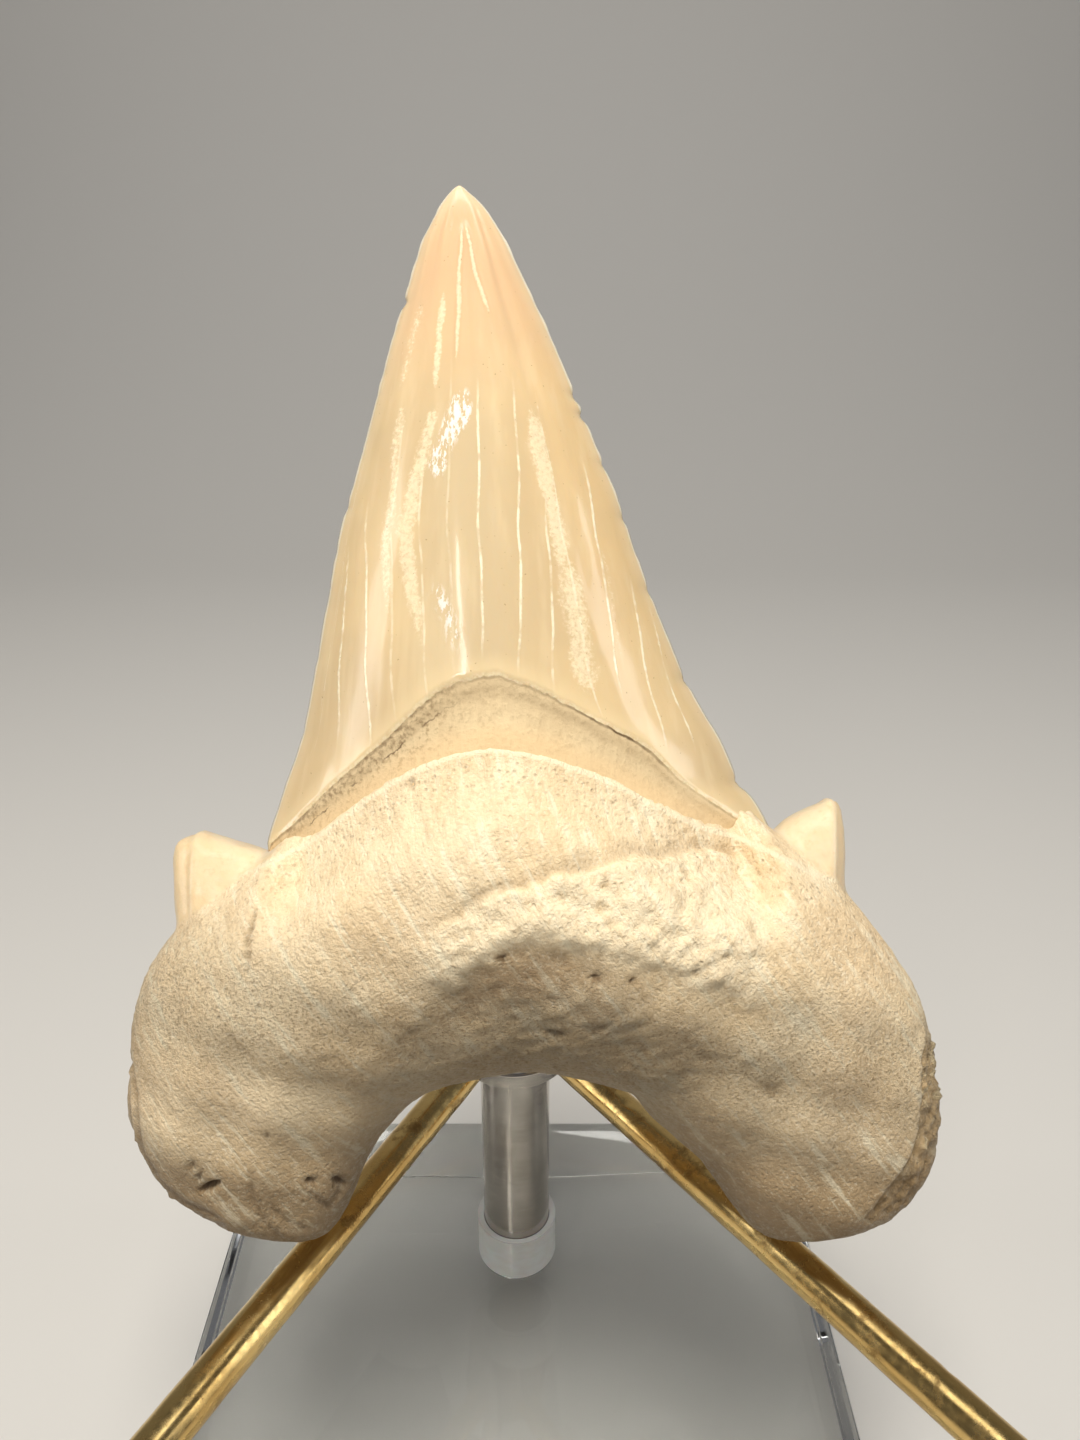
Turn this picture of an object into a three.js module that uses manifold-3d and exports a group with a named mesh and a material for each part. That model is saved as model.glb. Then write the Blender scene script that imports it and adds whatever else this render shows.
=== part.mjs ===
// Fossil tooth of a large mackerel shark, leaning on a stand with a clear block, a steel post and brass arms.
// Millimetres, +Z up. The origin is the middle of the block's underside, and the display face looks along -Y.

import * as THREE from 'three';
import { mergeVertices } from 'three/addons/utils/BufferGeometryUtils.js';
import Module from 'manifold-3d';

// Stand
const blockSide = 70;
const blockHeight = 19;
const blockCorner = 1.2;
const blockChamfer = 0.5;
const postRadius = 4;
const postFootAbove = 9.4;
const postX = -0.4;
const postY = 20.4;
const sleeveWall = 0.5;
const sleeveDepth = 10;
const fitGap = 0.3;
const cutPast = 1;
const armRadius = 1.75;
const armLength = 67;
const rodSides = 12;
const armHeight = blockHeight + 31;
const armSocketDepth = 3.2;
const hubRadius = 6.5;
const hubBottom = armHeight - 5.5;
const hubTop = armHeight + 6.5;
const hubEdge = 1;
const postInHub = 3;
const postChamfer = 0.4;
const turnedSides = 28;
const leftArmAngle = -27.85;
const rightArmAngle = 37.4;

// Tooth, in its own frame: x across, y to the back, z from the lobe ends to the tip
const toothLean = 24.8;
const toothPlace = [2.0, -10.4, 51.95];
const toothTip = [-6.5, 0, 90.1];
const enamelLift = 0.4;
const enamelHeart = [-2, -2, 42];
const neckHeights = [25, 31, 35, 38, 40.5, 43, 45.5, 48, 52];
const tipRounding = 0.35;
const lensShape = 0.86;
const ringPoints = 32;
const rootRings = 54;
const endCrowding = 0.055;
const enamelRings = 20;

// Cutting edges of the crown as [height, x]
const leftEdge = [
  [24, -21.5], [31, -22.8], [33, -23.0], [36, -22.2], [39, -21.2], [42.5, -20.0], [48, -18.9], [57, -17.3],
  [61, -16.5], [65.5, -15.2], [72, -13.5], [78.5, -11.6], [82, -10.7], [85, -9.7], [87.6, -8.4], [89.4, -7.3],
  [90.1, -6.6],
];
const rightEdge = [
  [24, 19.5], [31, 20.4], [34, 20.4], [36.7, 19.2], [39.2, 17.5], [42.4, 16.0], [46.1, 13.8], [52.3, 11.1],
  [58.7, 8.7], [62.4, 7.5], [66.6, 5.8], [71, 4.0], [77, 1.6], [80.7, 0.0], [84.2, -1.7], [87.1, -3.4],
  [88.8, -4.6], [89.8, -5.8], [90.1, -6.4],
];

// How far the crown stands out of the plane of its cutting edges, as [height, depth]
const crownFront = [
  [24, 9.6], [36, 9.6], [45, 8.9], [55, 7.6], [65, 5.9], [75, 4.0], [83, 2.4], [88, 1.2], [90.1, 0.5],
];
const crownBack = [[24, 4.0], [34, 3.8], [45, 3.2], [65, 2.0], [80, 1.1], [90.1, 0.4]];

// Lower border of the enamel, as [place across from -1 to 1, height]
const enamelBorderFront = [
  [-1, 32.6], [-0.86, 35.8], [-0.74, 39.6], [-0.6, 42.4], [-0.4, 45.2], [-0.2, 47.4], [-0.05, 48.3], [0.1, 47.3],
  [0.24, 46.0], [0.47, 44.1], [0.61, 42.1], [0.79, 39.2], [0.9, 36.1], [1, 34.0],
];
const enamelBorderBack = [[-1, 32.6], [-0.75, 30.2], [-0.3, 31.8], [0.1, 32.4], [0.5, 31.6], [0.8, 30.6], [1, 34.0]];

// Root, from the left lobe's end to the right one's: outer x and z, inner x and z, depth to the front and back
const rootLeftEnd = [-23.4, 1.7];
const rootRightEnd = [24.6, 1.9];
const rootStations = [
  [-26.4, 2.4, -19.6, 0.7, 3.6, 3.0],
  [-28.9, 3.7, -17.2, 1.0, 5.2, 3.9],
  [-31.1, 5.7, -15.9, 2.6, 6.5, 4.5],
  [-33.0, 8.5, -14.5, 5.9, 7.5, 4.9],
  [-33.9, 11.9, -12.7, 9.2, 8.3, 5.1],
  [-33.6, 16.3, -10.1, 12.0, 9.1, 5.1],
  [-32.9, 21.3, -7.8, 13.4, 9.9, 5.0],
  [-30.3, 26.2, -5.6, 14.1, 10.7, 4.8],
  [-24.6, 31.0, -3.8, 14.4, 11.4, 4.5],
  [-18.6, 36.0, -2.4, 14.5, 12.0, 4.2],
  [-12.2, 41.3, -1.2, 14.6, 12.6, 4.0],
  [-4.2, 45.0, -0.1, 14.6, 13.0, 3.9],
  [4.0, 43.7, 1.0, 14.5, 12.9, 3.9],
  [11.8, 39.7, 2.4, 14.3, 12.4, 4.0],
  [17.6, 36.5, 4.0, 14.0, 11.8, 4.2],
  [24.0, 31.8, 5.8, 13.6, 11.2, 4.5],
  [28.6, 26.6, 7.8, 13.0, 10.5, 4.8],
  [32.0, 21.4, 9.9, 11.5, 9.7, 5.0],
  [33.6, 15.8, 12.2, 9.9, 8.9, 5.1],
  [34.0, 11.2, 14.4, 7.9, 8.1, 5.1],
  [33.2, 7.0, 16.0, 5.2, 7.3, 4.9],
  [31.4, 4.1, 17.4, 2.3, 6.2, 4.5],
  [29.1, 2.7, 19.4, 1.0, 5.0, 3.9],
  [27.0, 2.2, 22.0, 1.2, 3.4, 3.0],
];
const sectionAcross = 0.86;
const sectionFront = 0.72;
const crestSection = 0.95;
const sectionBack = 0.52;
const crownBackShare = 0.45;
const backDish = 0.7;

// Cusplets, from the root up: height, left x, right x, depth to the front and back
const leftCusplet = [
  [23.5, -29.3, -21.0, 5.2, 3.6], [27.0, -30.3, -21.4, 4.8, 3.4], [30.2, -30.7, -21.4, 4.0, 3.0],
  [32.4, -30.8, -22.2, 3.0, 2.4], [33.7, -30.5, -25.6, 2.0, 1.6], [34.2, -29.5, -27.2, 1.0, 0.9],
];
const rightCusplet = [
  [26.0, 18.0, 26.8, 5.0, 3.4], [30.3, 19.0, 26.4, 4.6, 3.2], [33.4, 20.0, 26.5, 3.6, 2.8],
  [35.2, 21.2, 26.4, 2.6, 2.1], [36.4, 23.2, 26.3, 1.7, 1.4], [37.1, 25.1, 26.0, 0.7, 0.7],
];

// Pits as [x, z, half width, half length, turn in degrees]
const frontPits = [
  [-29.8, 5.4, 0.55, 1.3, -35], [-28.1, 3.5, 0.6, 1.2, -40], [-24.7, 27.2, 0.35, 0.7, 10], [-24.9, 25.4, 0.4, 0.8, 5],
  [-25.2, 23.6, 0.35, 0.7, 10], [-19.1, 4.1, 0.45, 0.7, 60], [-16.8, 4.2, 0.4, 0.6, 20], [1.8, 16.8, 0.5, 0.9, 80],
];
const backPits = [[-6.5, 22.5, 0.6, 1.0, 20], [3.0, 20.8, 0.8, 1.2, -15], [10.5, 23.5, 0.5, 0.8, 40]];
const pitDepth = 1.1;

// Worn groove along the outside of the right lobe, as [x, z, half width]
const wornGroove = [
  [34.7, 15.2, 0.5], [34.4, 12.6, 0.9], [33.8, 10.0, 1.2], [33.3, 7.8, 1.2], [32.3, 6.0, 0.9],
];
const grooveBehindFace = 4.6;
const grooveBite = [1.6, 1.9];

// Chips out of the cutting edges, as [x, z, radius]
const edgeChips = [[4.9, 70.9, 0.9], [8.5, 61.2, 0.6], [-11.9, 80.1, 0.6], [-16.9, 62.2, 0.5], [19.9, 38.4, 0.9]];
const chipReach = 2.4;

// The small lump under the right cusplet
const sideLump = { place: [26.7, -0.5, 28.6], halfSizes: [0.8, 1.1, 0.9] };

const wasm = await Module();
wasm.setup();

const toRadians = (degrees) => (degrees * Math.PI) / 180;
const power = (value, exponent) => Math.sign(value) * Math.abs(value) ** exponent;
const step = (low, high, value) =>
  (low < high ? THREE.MathUtils.smoothstep(value, low, high) : 1 - THREE.MathUtils.smoothstep(value, high, low));
const bump = (distance, reach) => Math.exp(-((distance / reach) ** 2));

// Reads a smooth curve through [at, value] pairs
function readCurve(pairs, at) {
  const last = pairs.length - 1;
  const clamped = THREE.MathUtils.clamp(at, pairs[0][0], pairs[last][0]);
  let index = 0;
  while (index < last - 1 && pairs[index + 1][0] < clamped) index += 1;
  const slope = (k) => {
    const low = pairs[Math.max(k - 1, 0)];
    const high = pairs[Math.min(k + 1, last)];
    return (high[1] - low[1]) / (high[0] - low[0]);
  };
  const [x0, y0] = pairs[index];
  const [x1, y1] = pairs[index + 1];
  const span = x1 - x0;
  const t = (clamped - x0) / span;
  const bend = (1 - t) * slope(index) - t * slope(index + 1);
  const straight = y0 + (y1 - y0) * t;
  const skew = (y1 - y0) * (2 * t - 1);
  return straight + t * (1 - t) * (span * bend + skew);
}

// Joins equally long rings of points into one closed skin, with a fan to a point at each end
function skinRings(rings, firstPoint, lastPoint) {
  const size = rings[0].length;
  const points = [...rings.flat(), firstPoint, lastPoint];
  const faces = [];
  for (let ring = 0; ring + 1 < rings.length; ring += 1) {
    for (let k = 0; k < size; k += 1) {
      const a = ring * size + k;
      const b = ring * size + ((k + 1) % size);
      faces.push([a, b, b + size], [a, b + size, a + size]);
    }
  }
  const lastRing = (rings.length - 1) * size;
  for (let k = 0; k < size; k += 1) {
    const next = (k + 1) % size;
    faces.push([rings.length * size, next, k]);
    faces.push([rings.length * size + 1, lastRing + k, lastRing + next]);
  }
  return new wasm.Manifold(new wasm.Mesh({
    numProp: 3,
    vertProperties: Float32Array.from(points.flat()),
    triVerts: Uint32Array.from(facesOutward(points, faces).flat()),
  }));
}

// Turns every face round if the skin came out inside out
function facesOutward(points, faces) {
  const volume = faces.reduce((sum, [a, b, c]) => {
    const [p, q, r] = [a, b, c].map((index) => new THREE.Vector3(...points[index]));
    return sum + p.dot(q.cross(r));
  }, 0);
  return volume > 0 ? faces : faces.map(([a, b, c]) => [a, c, b]);
}

// A closed three.js shape as a solid that can be joined and cut
function toSolid(geometry) {
  const bare = geometry.clone();
  bare.deleteAttribute('normal');
  bare.deleteAttribute('uv');
  const merged = mergeVertices(bare, 1e-4);
  return new wasm.Manifold(new wasm.Mesh({
    numProp: 3,
    vertProperties: Float32Array.from(merged.attributes.position.array),
    triVerts: Uint32Array.from(merged.index.array),
  }));
}

function toGeometry(solid) {
  const mesh = solid.getMesh();
  const geometry = new THREE.BufferGeometry();
  geometry.setAttribute('position', new THREE.BufferAttribute(Float32Array.from(mesh.vertProperties), 3));
  geometry.setIndex([...mesh.triVerts]);
  geometry.computeVertexNormals();
  return geometry;
}

function makePiece(name, geometry, colour, roughness, metalness) {
  const mesh = new THREE.Mesh(geometry, new THREE.MeshStandardMaterial({ color: colour, roughness, metalness }));
  mesh.name = name;
  return mesh;
}

// Low relief on the root's display face: the spongy hump and its ledge, the hollow under it and broad lumps
function rootRelief(x, z) {
  const pastLedge = ((x + 9) * 7 + (z - 23.2) * -8) / Math.hypot(7, 8);
  const hump = 0.8 * step(-0.6, 0.9, pastLedge) * bump(x - 5.5, 10) * bump(z - 25.5, 6.5);
  const hollow = -0.7 * bump(x + 2.5, 5) * bump(z - 20.6, 2.2);
  const lumps = 0.22 * Math.sin(0.62 * x + 0.35 * z) * Math.sin(0.27 * x - 0.71 * z + 0.8);
  const leftCrease = 0.5 * bump((x + 23.4) * 0.86 + (z - 2.2) * 0.5, 0.9) * bump(z - 2.4, 3.2);
  const furrows = 0.16 * Math.sin(1.9 * (x * 0.6 + z * 0.8)) * bump(x - 2, 11) * bump(z - 18, 4);
  return hump + hollow + lumps + leftCrease + furrows;
}

// One section of the root at a place along it from 0 to 1
function rootSection(along) {
  const at = along * (rootStations.length - 1);
  const [outerX, outerZ, innerX, innerZ, front, back] = rootStations[0].map((_, column) =>
    readCurve(rootStations.map((station, index) => [index, station[column]]), at));
  const frontShape = THREE.MathUtils.lerp(sectionFront, crestSection, bump(along - 0.5, 0.2));
  return Array.from({ length: ringPoints }, (_, k) => {
    const turn = (2 * Math.PI * k) / ringPoints;
    const across = 0.5 + 0.5 * power(Math.cos(turn), sectionAcross);
    const x = innerX + (outerX - innerX) * across;
    const z = innerZ + (outerZ - innerZ) * across;
    const rise = Math.sin(turn);
    const underCrown = step(33, 29.5, z) * (1 - crownBackShare) + crownBackShare;
    const y = rise > 0
      ? -(rise ** frontShape) * (front + rootRelief(x, z))
      : (-rise) ** sectionBack * (back - backDish * bump(x - 1, 12) * bump(z - 22, 5)) * underCrown;
    return [x, y, z];
  });
}

function makeRoot() {
  const rings = Array.from({ length: rootRings }, (_, k) => {
    const share = k / (rootRings - 1);
    return rootSection(share + endCrowding * Math.sin(2 * Math.PI * share));
  });
  return skinRings(rings, [rootLeftEnd[0], 0, rootLeftEnd[1]], [rootRightEnd[0], 0, rootRightEnd[1]]);
}

// A point of the crown's skin: place goes from -1 at the left edge to 1 at the right one
function crownSkin(place, z, onFront, inset) {
  const left = readCurve(leftEdge, z) + inset;
  const right = readCurve(rightEdge, z) - inset;
  const depth = onFront ? inset - readCurve(crownFront, z) : readCurve(crownBack, z) - inset;
  return [(left + right) / 2 + (place * (right - left)) / 2, depth * (1 - place * place) ** lensShape, z];
}

// Each ring of the enamel runs parallel to its lower border near the root and is level at the tip
function enamelRing(rise) {
  return Array.from({ length: ringPoints }, (_, k) => {
    const turn = (2 * Math.PI * k) / ringPoints;
    const onFront = Math.sin(turn) >= 0;
    const border = readCurve(onFront ? enamelBorderFront : enamelBorderBack, Math.cos(turn));
    return crownSkin(Math.cos(turn), border + (toothTip[2] - tipRounding - border) * rise, onFront, 0);
  });
}

function makeEnamel() {
  const rings = Array.from({ length: enamelRings }, (_, ring) =>
    enamelRing(Math.sin((Math.PI / 2) * (ring / (enamelRings - 1)))));
  return skinRings(rings, enamelHeart, toothTip);
}

// The dentine under the enamel, which shows as the band between the enamel and the root
function makeNeck() {
  const rings = neckHeights.map((z) => Array.from({ length: ringPoints }, (_, k) => {
    const turn = (2 * Math.PI * k) / ringPoints;
    return crownSkin(Math.cos(turn), z, Math.sin(turn) >= 0, enamelLift);
  }));
  return skinRings(rings, [-1.5, -2, neckHeights[0]], [-2.5, -2, neckHeights.at(-1)]);
}

// A broken side cusp, with a sharper edge at its two sides
function makeCusplet(stations) {
  const sides = 16;
  const rings = stations.map(([z, left, right, front, back]) => Array.from({ length: sides }, (_, k) => {
    const turn = (2 * Math.PI * k) / sides;
    const depth = Math.sin(turn) >= 0 ? -front : back;
    return [
      (left + right) / 2 + (power(Math.cos(turn), 0.9) * (right - left)) / 2,
      depth * Math.abs(Math.sin(turn)) ** 0.8,
      z,
    ];
  }));
  const [topZ, topLeft, topRight] = stations.at(-1);
  const [footZ, footLeft, footRight] = stations[0];
  return skinRings(rings, [(footLeft + footRight) / 2, 0, footZ], [(topLeft + topRight) / 2, 0, topZ + 0.15]);
}

// An oval pebble that cuts a pit or adds a small lump
function makePebble(place, halfSizes, turn = 0) {
  const geometry = new THREE.IcosahedronGeometry(1, 1);
  geometry.scale(...halfSizes);
  geometry.rotateY(toRadians(turn));
  geometry.translate(...place);
  return toSolid(geometry);
}

// How far the root's face stands out at a place, found on the nearest point of its sections
function rootFaceDepth(x, z, side) {
  let best = Infinity;
  let depth = 0;
  for (let ring = 0; ring <= 120; ring += 1) {
    for (const [px, py, pz] of rootSection(ring / 120)) {
      const distance = Math.hypot(px - x, pz - z);
      if (py * side > 0 && distance < best) {
        best = distance;
        depth = py;
      }
    }
  }
  return depth;
}

function makeTooth() {
  let solid = makeRoot().add(makeNeck()).add(makeEnamel());
  solid = solid.add(makeCusplet(leftCusplet)).add(makeCusplet(rightCusplet));
  solid = solid.add(makePebble(sideLump.place, sideLump.halfSizes));
  for (const [x, z, halfWidth, halfLength, turn] of frontPits) {
    const y = rootFaceDepth(x, z, -1);
    solid = solid.subtract(makePebble([x, y, z], [halfWidth, pitDepth, halfLength], turn));
  }
  for (const [x, z, halfWidth, halfLength, turn] of backPits) {
    const y = rootFaceDepth(x, z, 1);
    solid = solid.subtract(makePebble([x, y, z], [halfWidth, pitDepth, halfLength], turn));
  }
  for (const [x, z, halfWidth] of wornGroove) {
    solid = solid.subtract(makePebble([x, -grooveBehindFace, z], [halfWidth, ...grooveBite]));
  }
  for (const [x, z, radius] of edgeChips) {
    solid = solid.subtract(makePebble([x, 0, z], [radius, chipReach, radius]));
  }
  const tooth = makePiece('tooth', toGeometry(solid), 0xd9c7a4, 0.6, 0);
  tooth.rotation.x = toRadians(-toothLean);
  tooth.position.set(...toothPlace);
  return tooth;
}

// A turned shape about the post's axis, from [radius, height] pairs
function makeTurned(profile) {
  const points = profile.map(([radius, z]) => new THREE.Vector2(radius, z));
  const geometry = new THREE.LatheGeometry(points, turnedSides);
  geometry.rotateX(Math.PI / 2);
  geometry.translate(postX, postY, 0);
  return geometry;
}

function makeBlock() {
  const half = blockSide / 2 - blockChamfer;
  const outline = new THREE.Shape();
  outline.absarc(half - blockCorner, half - blockCorner, blockCorner, 0, Math.PI / 2);
  outline.absarc(blockCorner - half, half - blockCorner, blockCorner, Math.PI / 2, Math.PI);
  outline.absarc(blockCorner - half, blockCorner - half, blockCorner, Math.PI, 1.5 * Math.PI);
  outline.absarc(half - blockCorner, blockCorner - half, blockCorner, 1.5 * Math.PI, 2 * Math.PI);
  const slab = new THREE.ExtrudeGeometry(outline, {
    depth: blockHeight - 2 * blockChamfer,
    bevelSize: blockChamfer,
    bevelThickness: blockChamfer,
    bevelSegments: 1,
    curveSegments: 4,
  });
  slab.translate(0, 0, blockChamfer);
  const holeRadius = postRadius + sleeveWall + 2 * fitGap;
  const holeFloor = blockHeight - sleeveDepth - fitGap;
  const holeTop = blockHeight + cutPast;
  const hole = makeTurned([[0, holeFloor], [holeRadius, holeFloor], [holeRadius, holeTop], [0, holeTop]]);
  return makePiece('base_block', toGeometry(toSolid(slab).subtract(toSolid(hole))), 0xdfe6e8, 0.05, 0);
}

function makeSleeve() {
  const inner = postRadius + fitGap;
  const outer = inner + sleeveWall;
  const foot = blockHeight - sleeveDepth;
  const profile = [[inner, foot], [outer, foot], [outer, blockHeight], [inner, blockHeight], [inner, foot]];
  return makePiece('post_sleeve', makeTurned(profile), 0xf0ece2, 0.5, 0);
}

function makePost() {
  const foot = blockHeight - postFootAbove;
  const top = hubBottom + postInHub;
  const profile = [
    [0, foot], [postRadius - postChamfer, foot], [postRadius, foot + postChamfer], [postRadius, top], [0, top],
  ];
  return makePiece('post', makeTurned(profile), 0xb9b4ab, 0.18, 1);
}

// The collar on the post, bored for the post and for the ends of the three arms
function makeHub(armHoles) {
  const body = toSolid(makeTurned([
    [0, hubBottom], [hubRadius - hubEdge, hubBottom], [hubRadius, hubBottom + hubEdge],
    [hubRadius, hubTop - 2 * hubEdge], [hubRadius - 0.6 * hubEdge, hubTop - 0.7 * hubEdge],
    [hubRadius - 2 * hubEdge, hubTop], [0, hubTop],
  ]));
  const boreRadius = postRadius + fitGap;
  const boreTop = hubBottom + postInHub + fitGap;
  const belowHub = hubBottom - cutPast;
  const bore = toSolid(makeTurned([[0, belowHub], [boreRadius, belowHub], [boreRadius, boreTop], [0, boreTop]]));
  const bored = armHoles.reduce((solid, hole) => solid.subtract(hole), body.subtract(bore));
  return makePiece('hub', toGeometry(bored), 0xb9b4ab, 0.2, 1);
}

// A round rod along a smooth curve through the points
function makeRod(points, radius, steps) {
  const outline = new THREE.Shape();
  outline.absarc(0, 0, radius, 0, 2 * Math.PI);
  const path = new THREE.CatmullRomCurve3(points.map((point) => new THREE.Vector3(...point)));
  return new THREE.ExtrudeGeometry(outline, { extrudePath: path, steps, curveSegments: rodSides / 2 });
}

// The two ends of a level arm that leaves the hub at an angle off the way to the viewer
function levelArmPoints(angle) {
  const [sideways, forward] = [Math.sin(toRadians(angle)), -Math.cos(toRadians(angle))];
  return [hubRadius - armSocketDepth, armLength].map((reach) =>
    [postX + sideways * reach, postY + forward * reach, armHeight]);
}

// The arm behind the tooth rises from the hub and leans its end against the crown's back
const backArmPoints = [
  [postX, postY + 1.2, hubTop - armSocketDepth], [postX, postY + 1.8, hubTop + 6], [postX, postY + 2.2, 74],
  [postX + 0.3, postY - 0.3, 83], [postX + 0.6, postY - 4.1, 90], [postX + 0.8, postY - 7.2, 93.4],
];

// The hole that takes the first stretch of an arm
function armHole(points) {
  const [from, to] = [new THREE.Vector3(...points[0]), new THREE.Vector3(...points[1])];
  const way = to.clone().sub(from).normalize();
  const ends = [-fitGap, 2 * armSocketDepth].map((reach) => from.clone().addScaledVector(way, reach));
  return toSolid(makeRod(ends.map((end) => end.toArray()), armRadius + fitGap, 1));
}

function makeArm(name, points, steps) {
  return makePiece(name, makeRod(points, armRadius, steps), 0xc9a54e, 0.25, 1);
}

const leftArmPoints = levelArmPoints(leftArmAngle);
const rightArmPoints = levelArmPoints(rightArmAngle);

const part = new THREE.Group();
part.add(makeTooth());
part.add(makeBlock());
part.add(makeSleeve());
part.add(makePost());
part.add(makeHub([leftArmPoints, rightArmPoints, backArmPoints].map(armHole)));
part.add(makeArm('left_arm', leftArmPoints, 6));
part.add(makeArm('right_arm', rightArmPoints, 6));
part.add(makeArm('back_arm', backArmPoints, 14));

export default part;
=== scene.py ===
import math

import bmesh
import bpy
import numpy as np
from mathutils import Matrix, Vector


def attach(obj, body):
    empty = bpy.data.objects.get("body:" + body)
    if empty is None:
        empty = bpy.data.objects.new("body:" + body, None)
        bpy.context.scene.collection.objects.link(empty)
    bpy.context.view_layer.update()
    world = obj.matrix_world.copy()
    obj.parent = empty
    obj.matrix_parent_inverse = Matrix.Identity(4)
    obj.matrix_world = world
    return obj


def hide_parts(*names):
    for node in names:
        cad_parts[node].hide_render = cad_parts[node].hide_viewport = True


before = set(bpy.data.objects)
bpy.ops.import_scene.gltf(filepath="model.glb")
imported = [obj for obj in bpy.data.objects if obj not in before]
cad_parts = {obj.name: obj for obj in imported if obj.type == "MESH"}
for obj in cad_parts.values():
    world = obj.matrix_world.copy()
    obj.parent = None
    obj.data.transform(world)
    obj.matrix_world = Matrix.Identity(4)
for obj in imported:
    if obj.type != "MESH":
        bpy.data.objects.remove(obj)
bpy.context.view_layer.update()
print("frame loaded")

mm = 0.001
lean = math.radians(24.8)  # the tooth leans back as far as the camera looks down
toothPlace = (2.0, -10.4, 51.95)
toothMatrix = Matrix.Scale(mm, 4) @ Matrix.Translation(toothPlace) @ Matrix.Rotation(-lean, 4, "X")


def smooth(low, high, value):
    share = np.clip((value - low) / (high - low), 0, 1)
    return share * share * (3 - 2 * share)


def bump(distance, reach):
    return np.exp(-(distance / reach) ** 2)


def power(value, exponent):
    return np.sign(value) * np.abs(value) ** exponent


def makePoints(*parts):  # x, y and z, each an array or one number, joined into points
    return np.stack(np.broadcast_arrays(*parts), -1)


def readCurve(pairs, at):  # smooth curve through [at, value] pairs
    xs, ys = np.array(pairs, float).T
    last = len(xs) - 1
    at = np.clip(at, xs[0], xs[-1])
    k = np.clip(np.searchsorted(xs, at, side="left") - 1, 0, last - 1)
    low, high = np.maximum(np.arange(last + 1) - 1, 0), np.minimum(np.arange(last + 1) + 1, last)
    slope = (ys[high] - ys[low]) / (xs[high] - xs[low])
    span, rise = xs[k + 1] - xs[k], ys[k + 1] - ys[k]
    t = (at - xs[k]) / span
    bend = (1 - t) * slope[k] - t * slope[k + 1]
    return ys[k] + rise * t + t * (1 - t) * (span * bend + rise * (2 * t - 1))


def readTable(rows, at):  # every column of a table, with smooth values between its rows
    return [readCurve(list(enumerate(column)), at) for column in zip(*rows)]


def hashCells(cells, seed):  # one number from 0 to 1 for each whole-numbered cell
    x, y, z = (cells[..., k].astype(np.int64) for k in range(3))
    n = (x * 374761393 + y * 668265263 + z * 1440662683 + seed * 1274126177) & 0xFFFFFFFF
    n = ((n ^ (n >> 13)) * 1274126177) & 0xFFFFFFFF
    n = ((n ^ (n >> 15)) * 2246822519) & 0xFFFFFFFF
    return ((n ^ (n >> 16)) & 0xFFFFFF) / 0xFFFFFF


def softNoise(points, size, seed, layers=1):  # from -1 to 1; size is a number or one for each axis, in mm
    total, weight = 0, 0
    for layer in range(layers):
        scaled = points / (np.array(size) / 2 ** layer) + 17.3 * layer
        cell = np.floor(scaled)
        t = scaled - cell
        t = t * t * t * (t * (6 * t - 15) + 10)
        value = 0
        for corner in np.ndindex(2, 2, 2):
            share = np.prod(np.where(corner, t, 1 - t), axis=-1)
            value = value + share * hashCells(cell + np.array(corner), seed + 7 * layer)
        total = total + (2 * value - 1) / 2 ** layer
        weight += 1 / 2 ** layer
    return total / weight


def cellNoise(points, size, seed):  # distance to the nearest scattered point, in cells
    scaled = points / np.array(size)
    cell = np.floor(scaled)
    best = np.full(points.shape[:-1], 9.0)
    for near in np.ndindex(3, 3, 3):
        at = cell + np.array(near) - 1
        spot = at + np.stack([hashCells(at, seed + k) for k in range(3)], -1)
        best = np.minimum(best, np.linalg.norm(spot - scaled, axis=-1))
    return best


def newPiece(name, points, faces, closed=True):
    mesh = bpy.data.meshes.new(name)
    mesh.from_pydata([tuple(p) for p in points], [], faces)
    mesh.update()
    piece = bpy.data.objects.new(name, mesh)
    bpy.context.scene.collection.objects.link(piece)
    if closed:
        fixNormals(piece)
    return piece


# Rings of points joined into a skin, with a fan to a point at each end
def skinRings(rings, first=None, last=None):
    count, size = rings.shape[:2]
    points = list(rings.reshape(-1, 3))
    k = np.arange(size)
    quads = []
    for ring in range(count - 1):
        a, b = ring * size + k, ring * size + (k + 1) % size
        quads += np.stack([a, b, b + size, a + size], 1).tolist()
    for end, ring in ((first, 0), (last, count - 1)):
        if end is None:
            continue
        points.append(end)
        a, b = ring * size + k, ring * size + (k + 1) % size
        if ring == 0:
            a, b = b, a
        quads += np.stack([a, b, np.full(size, len(points) - 1)], 1).tolist()
    return np.array(points), quads


def fixNormals(piece):
    tidy = bmesh.new()
    tidy.from_mesh(piece.data)
    bmesh.ops.recalc_face_normals(tidy, faces=tidy.faces)
    tidy.to_mesh(piece.data)
    tidy.free()


def useModifier(piece, kind, settings):
    modifier = piece.modifiers.new(kind, kind)
    for key, value in settings.items():
        setattr(modifier, key, value)
    shown = piece.evaluated_get(bpy.context.evaluated_depsgraph_get())
    mesh = bpy.data.meshes.new_from_object(shown)
    piece.modifiers.clear()
    piece.data = mesh


def cutAway(piece, cutter):
    useModifier(piece, "BOOLEAN", {"object": cutter, "operation": "DIFFERENCE", "solver": "EXACT"})
    bpy.data.objects.remove(cutter)


def vertexArray(mesh, what="place"):
    source, key = {"place": (mesh.vertices, "co"), "normal": (mesh.vertex_normals, "vector")}[what]
    values = np.zeros(len(source) * 3, np.float32)
    source.foreach_get(key, values)
    return values.reshape(-1, 3).astype(float)


def setVertices(mesh, points):
    mesh.vertices.foreach_set("co", points.astype(np.float32).ravel())
    mesh.update()


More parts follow.
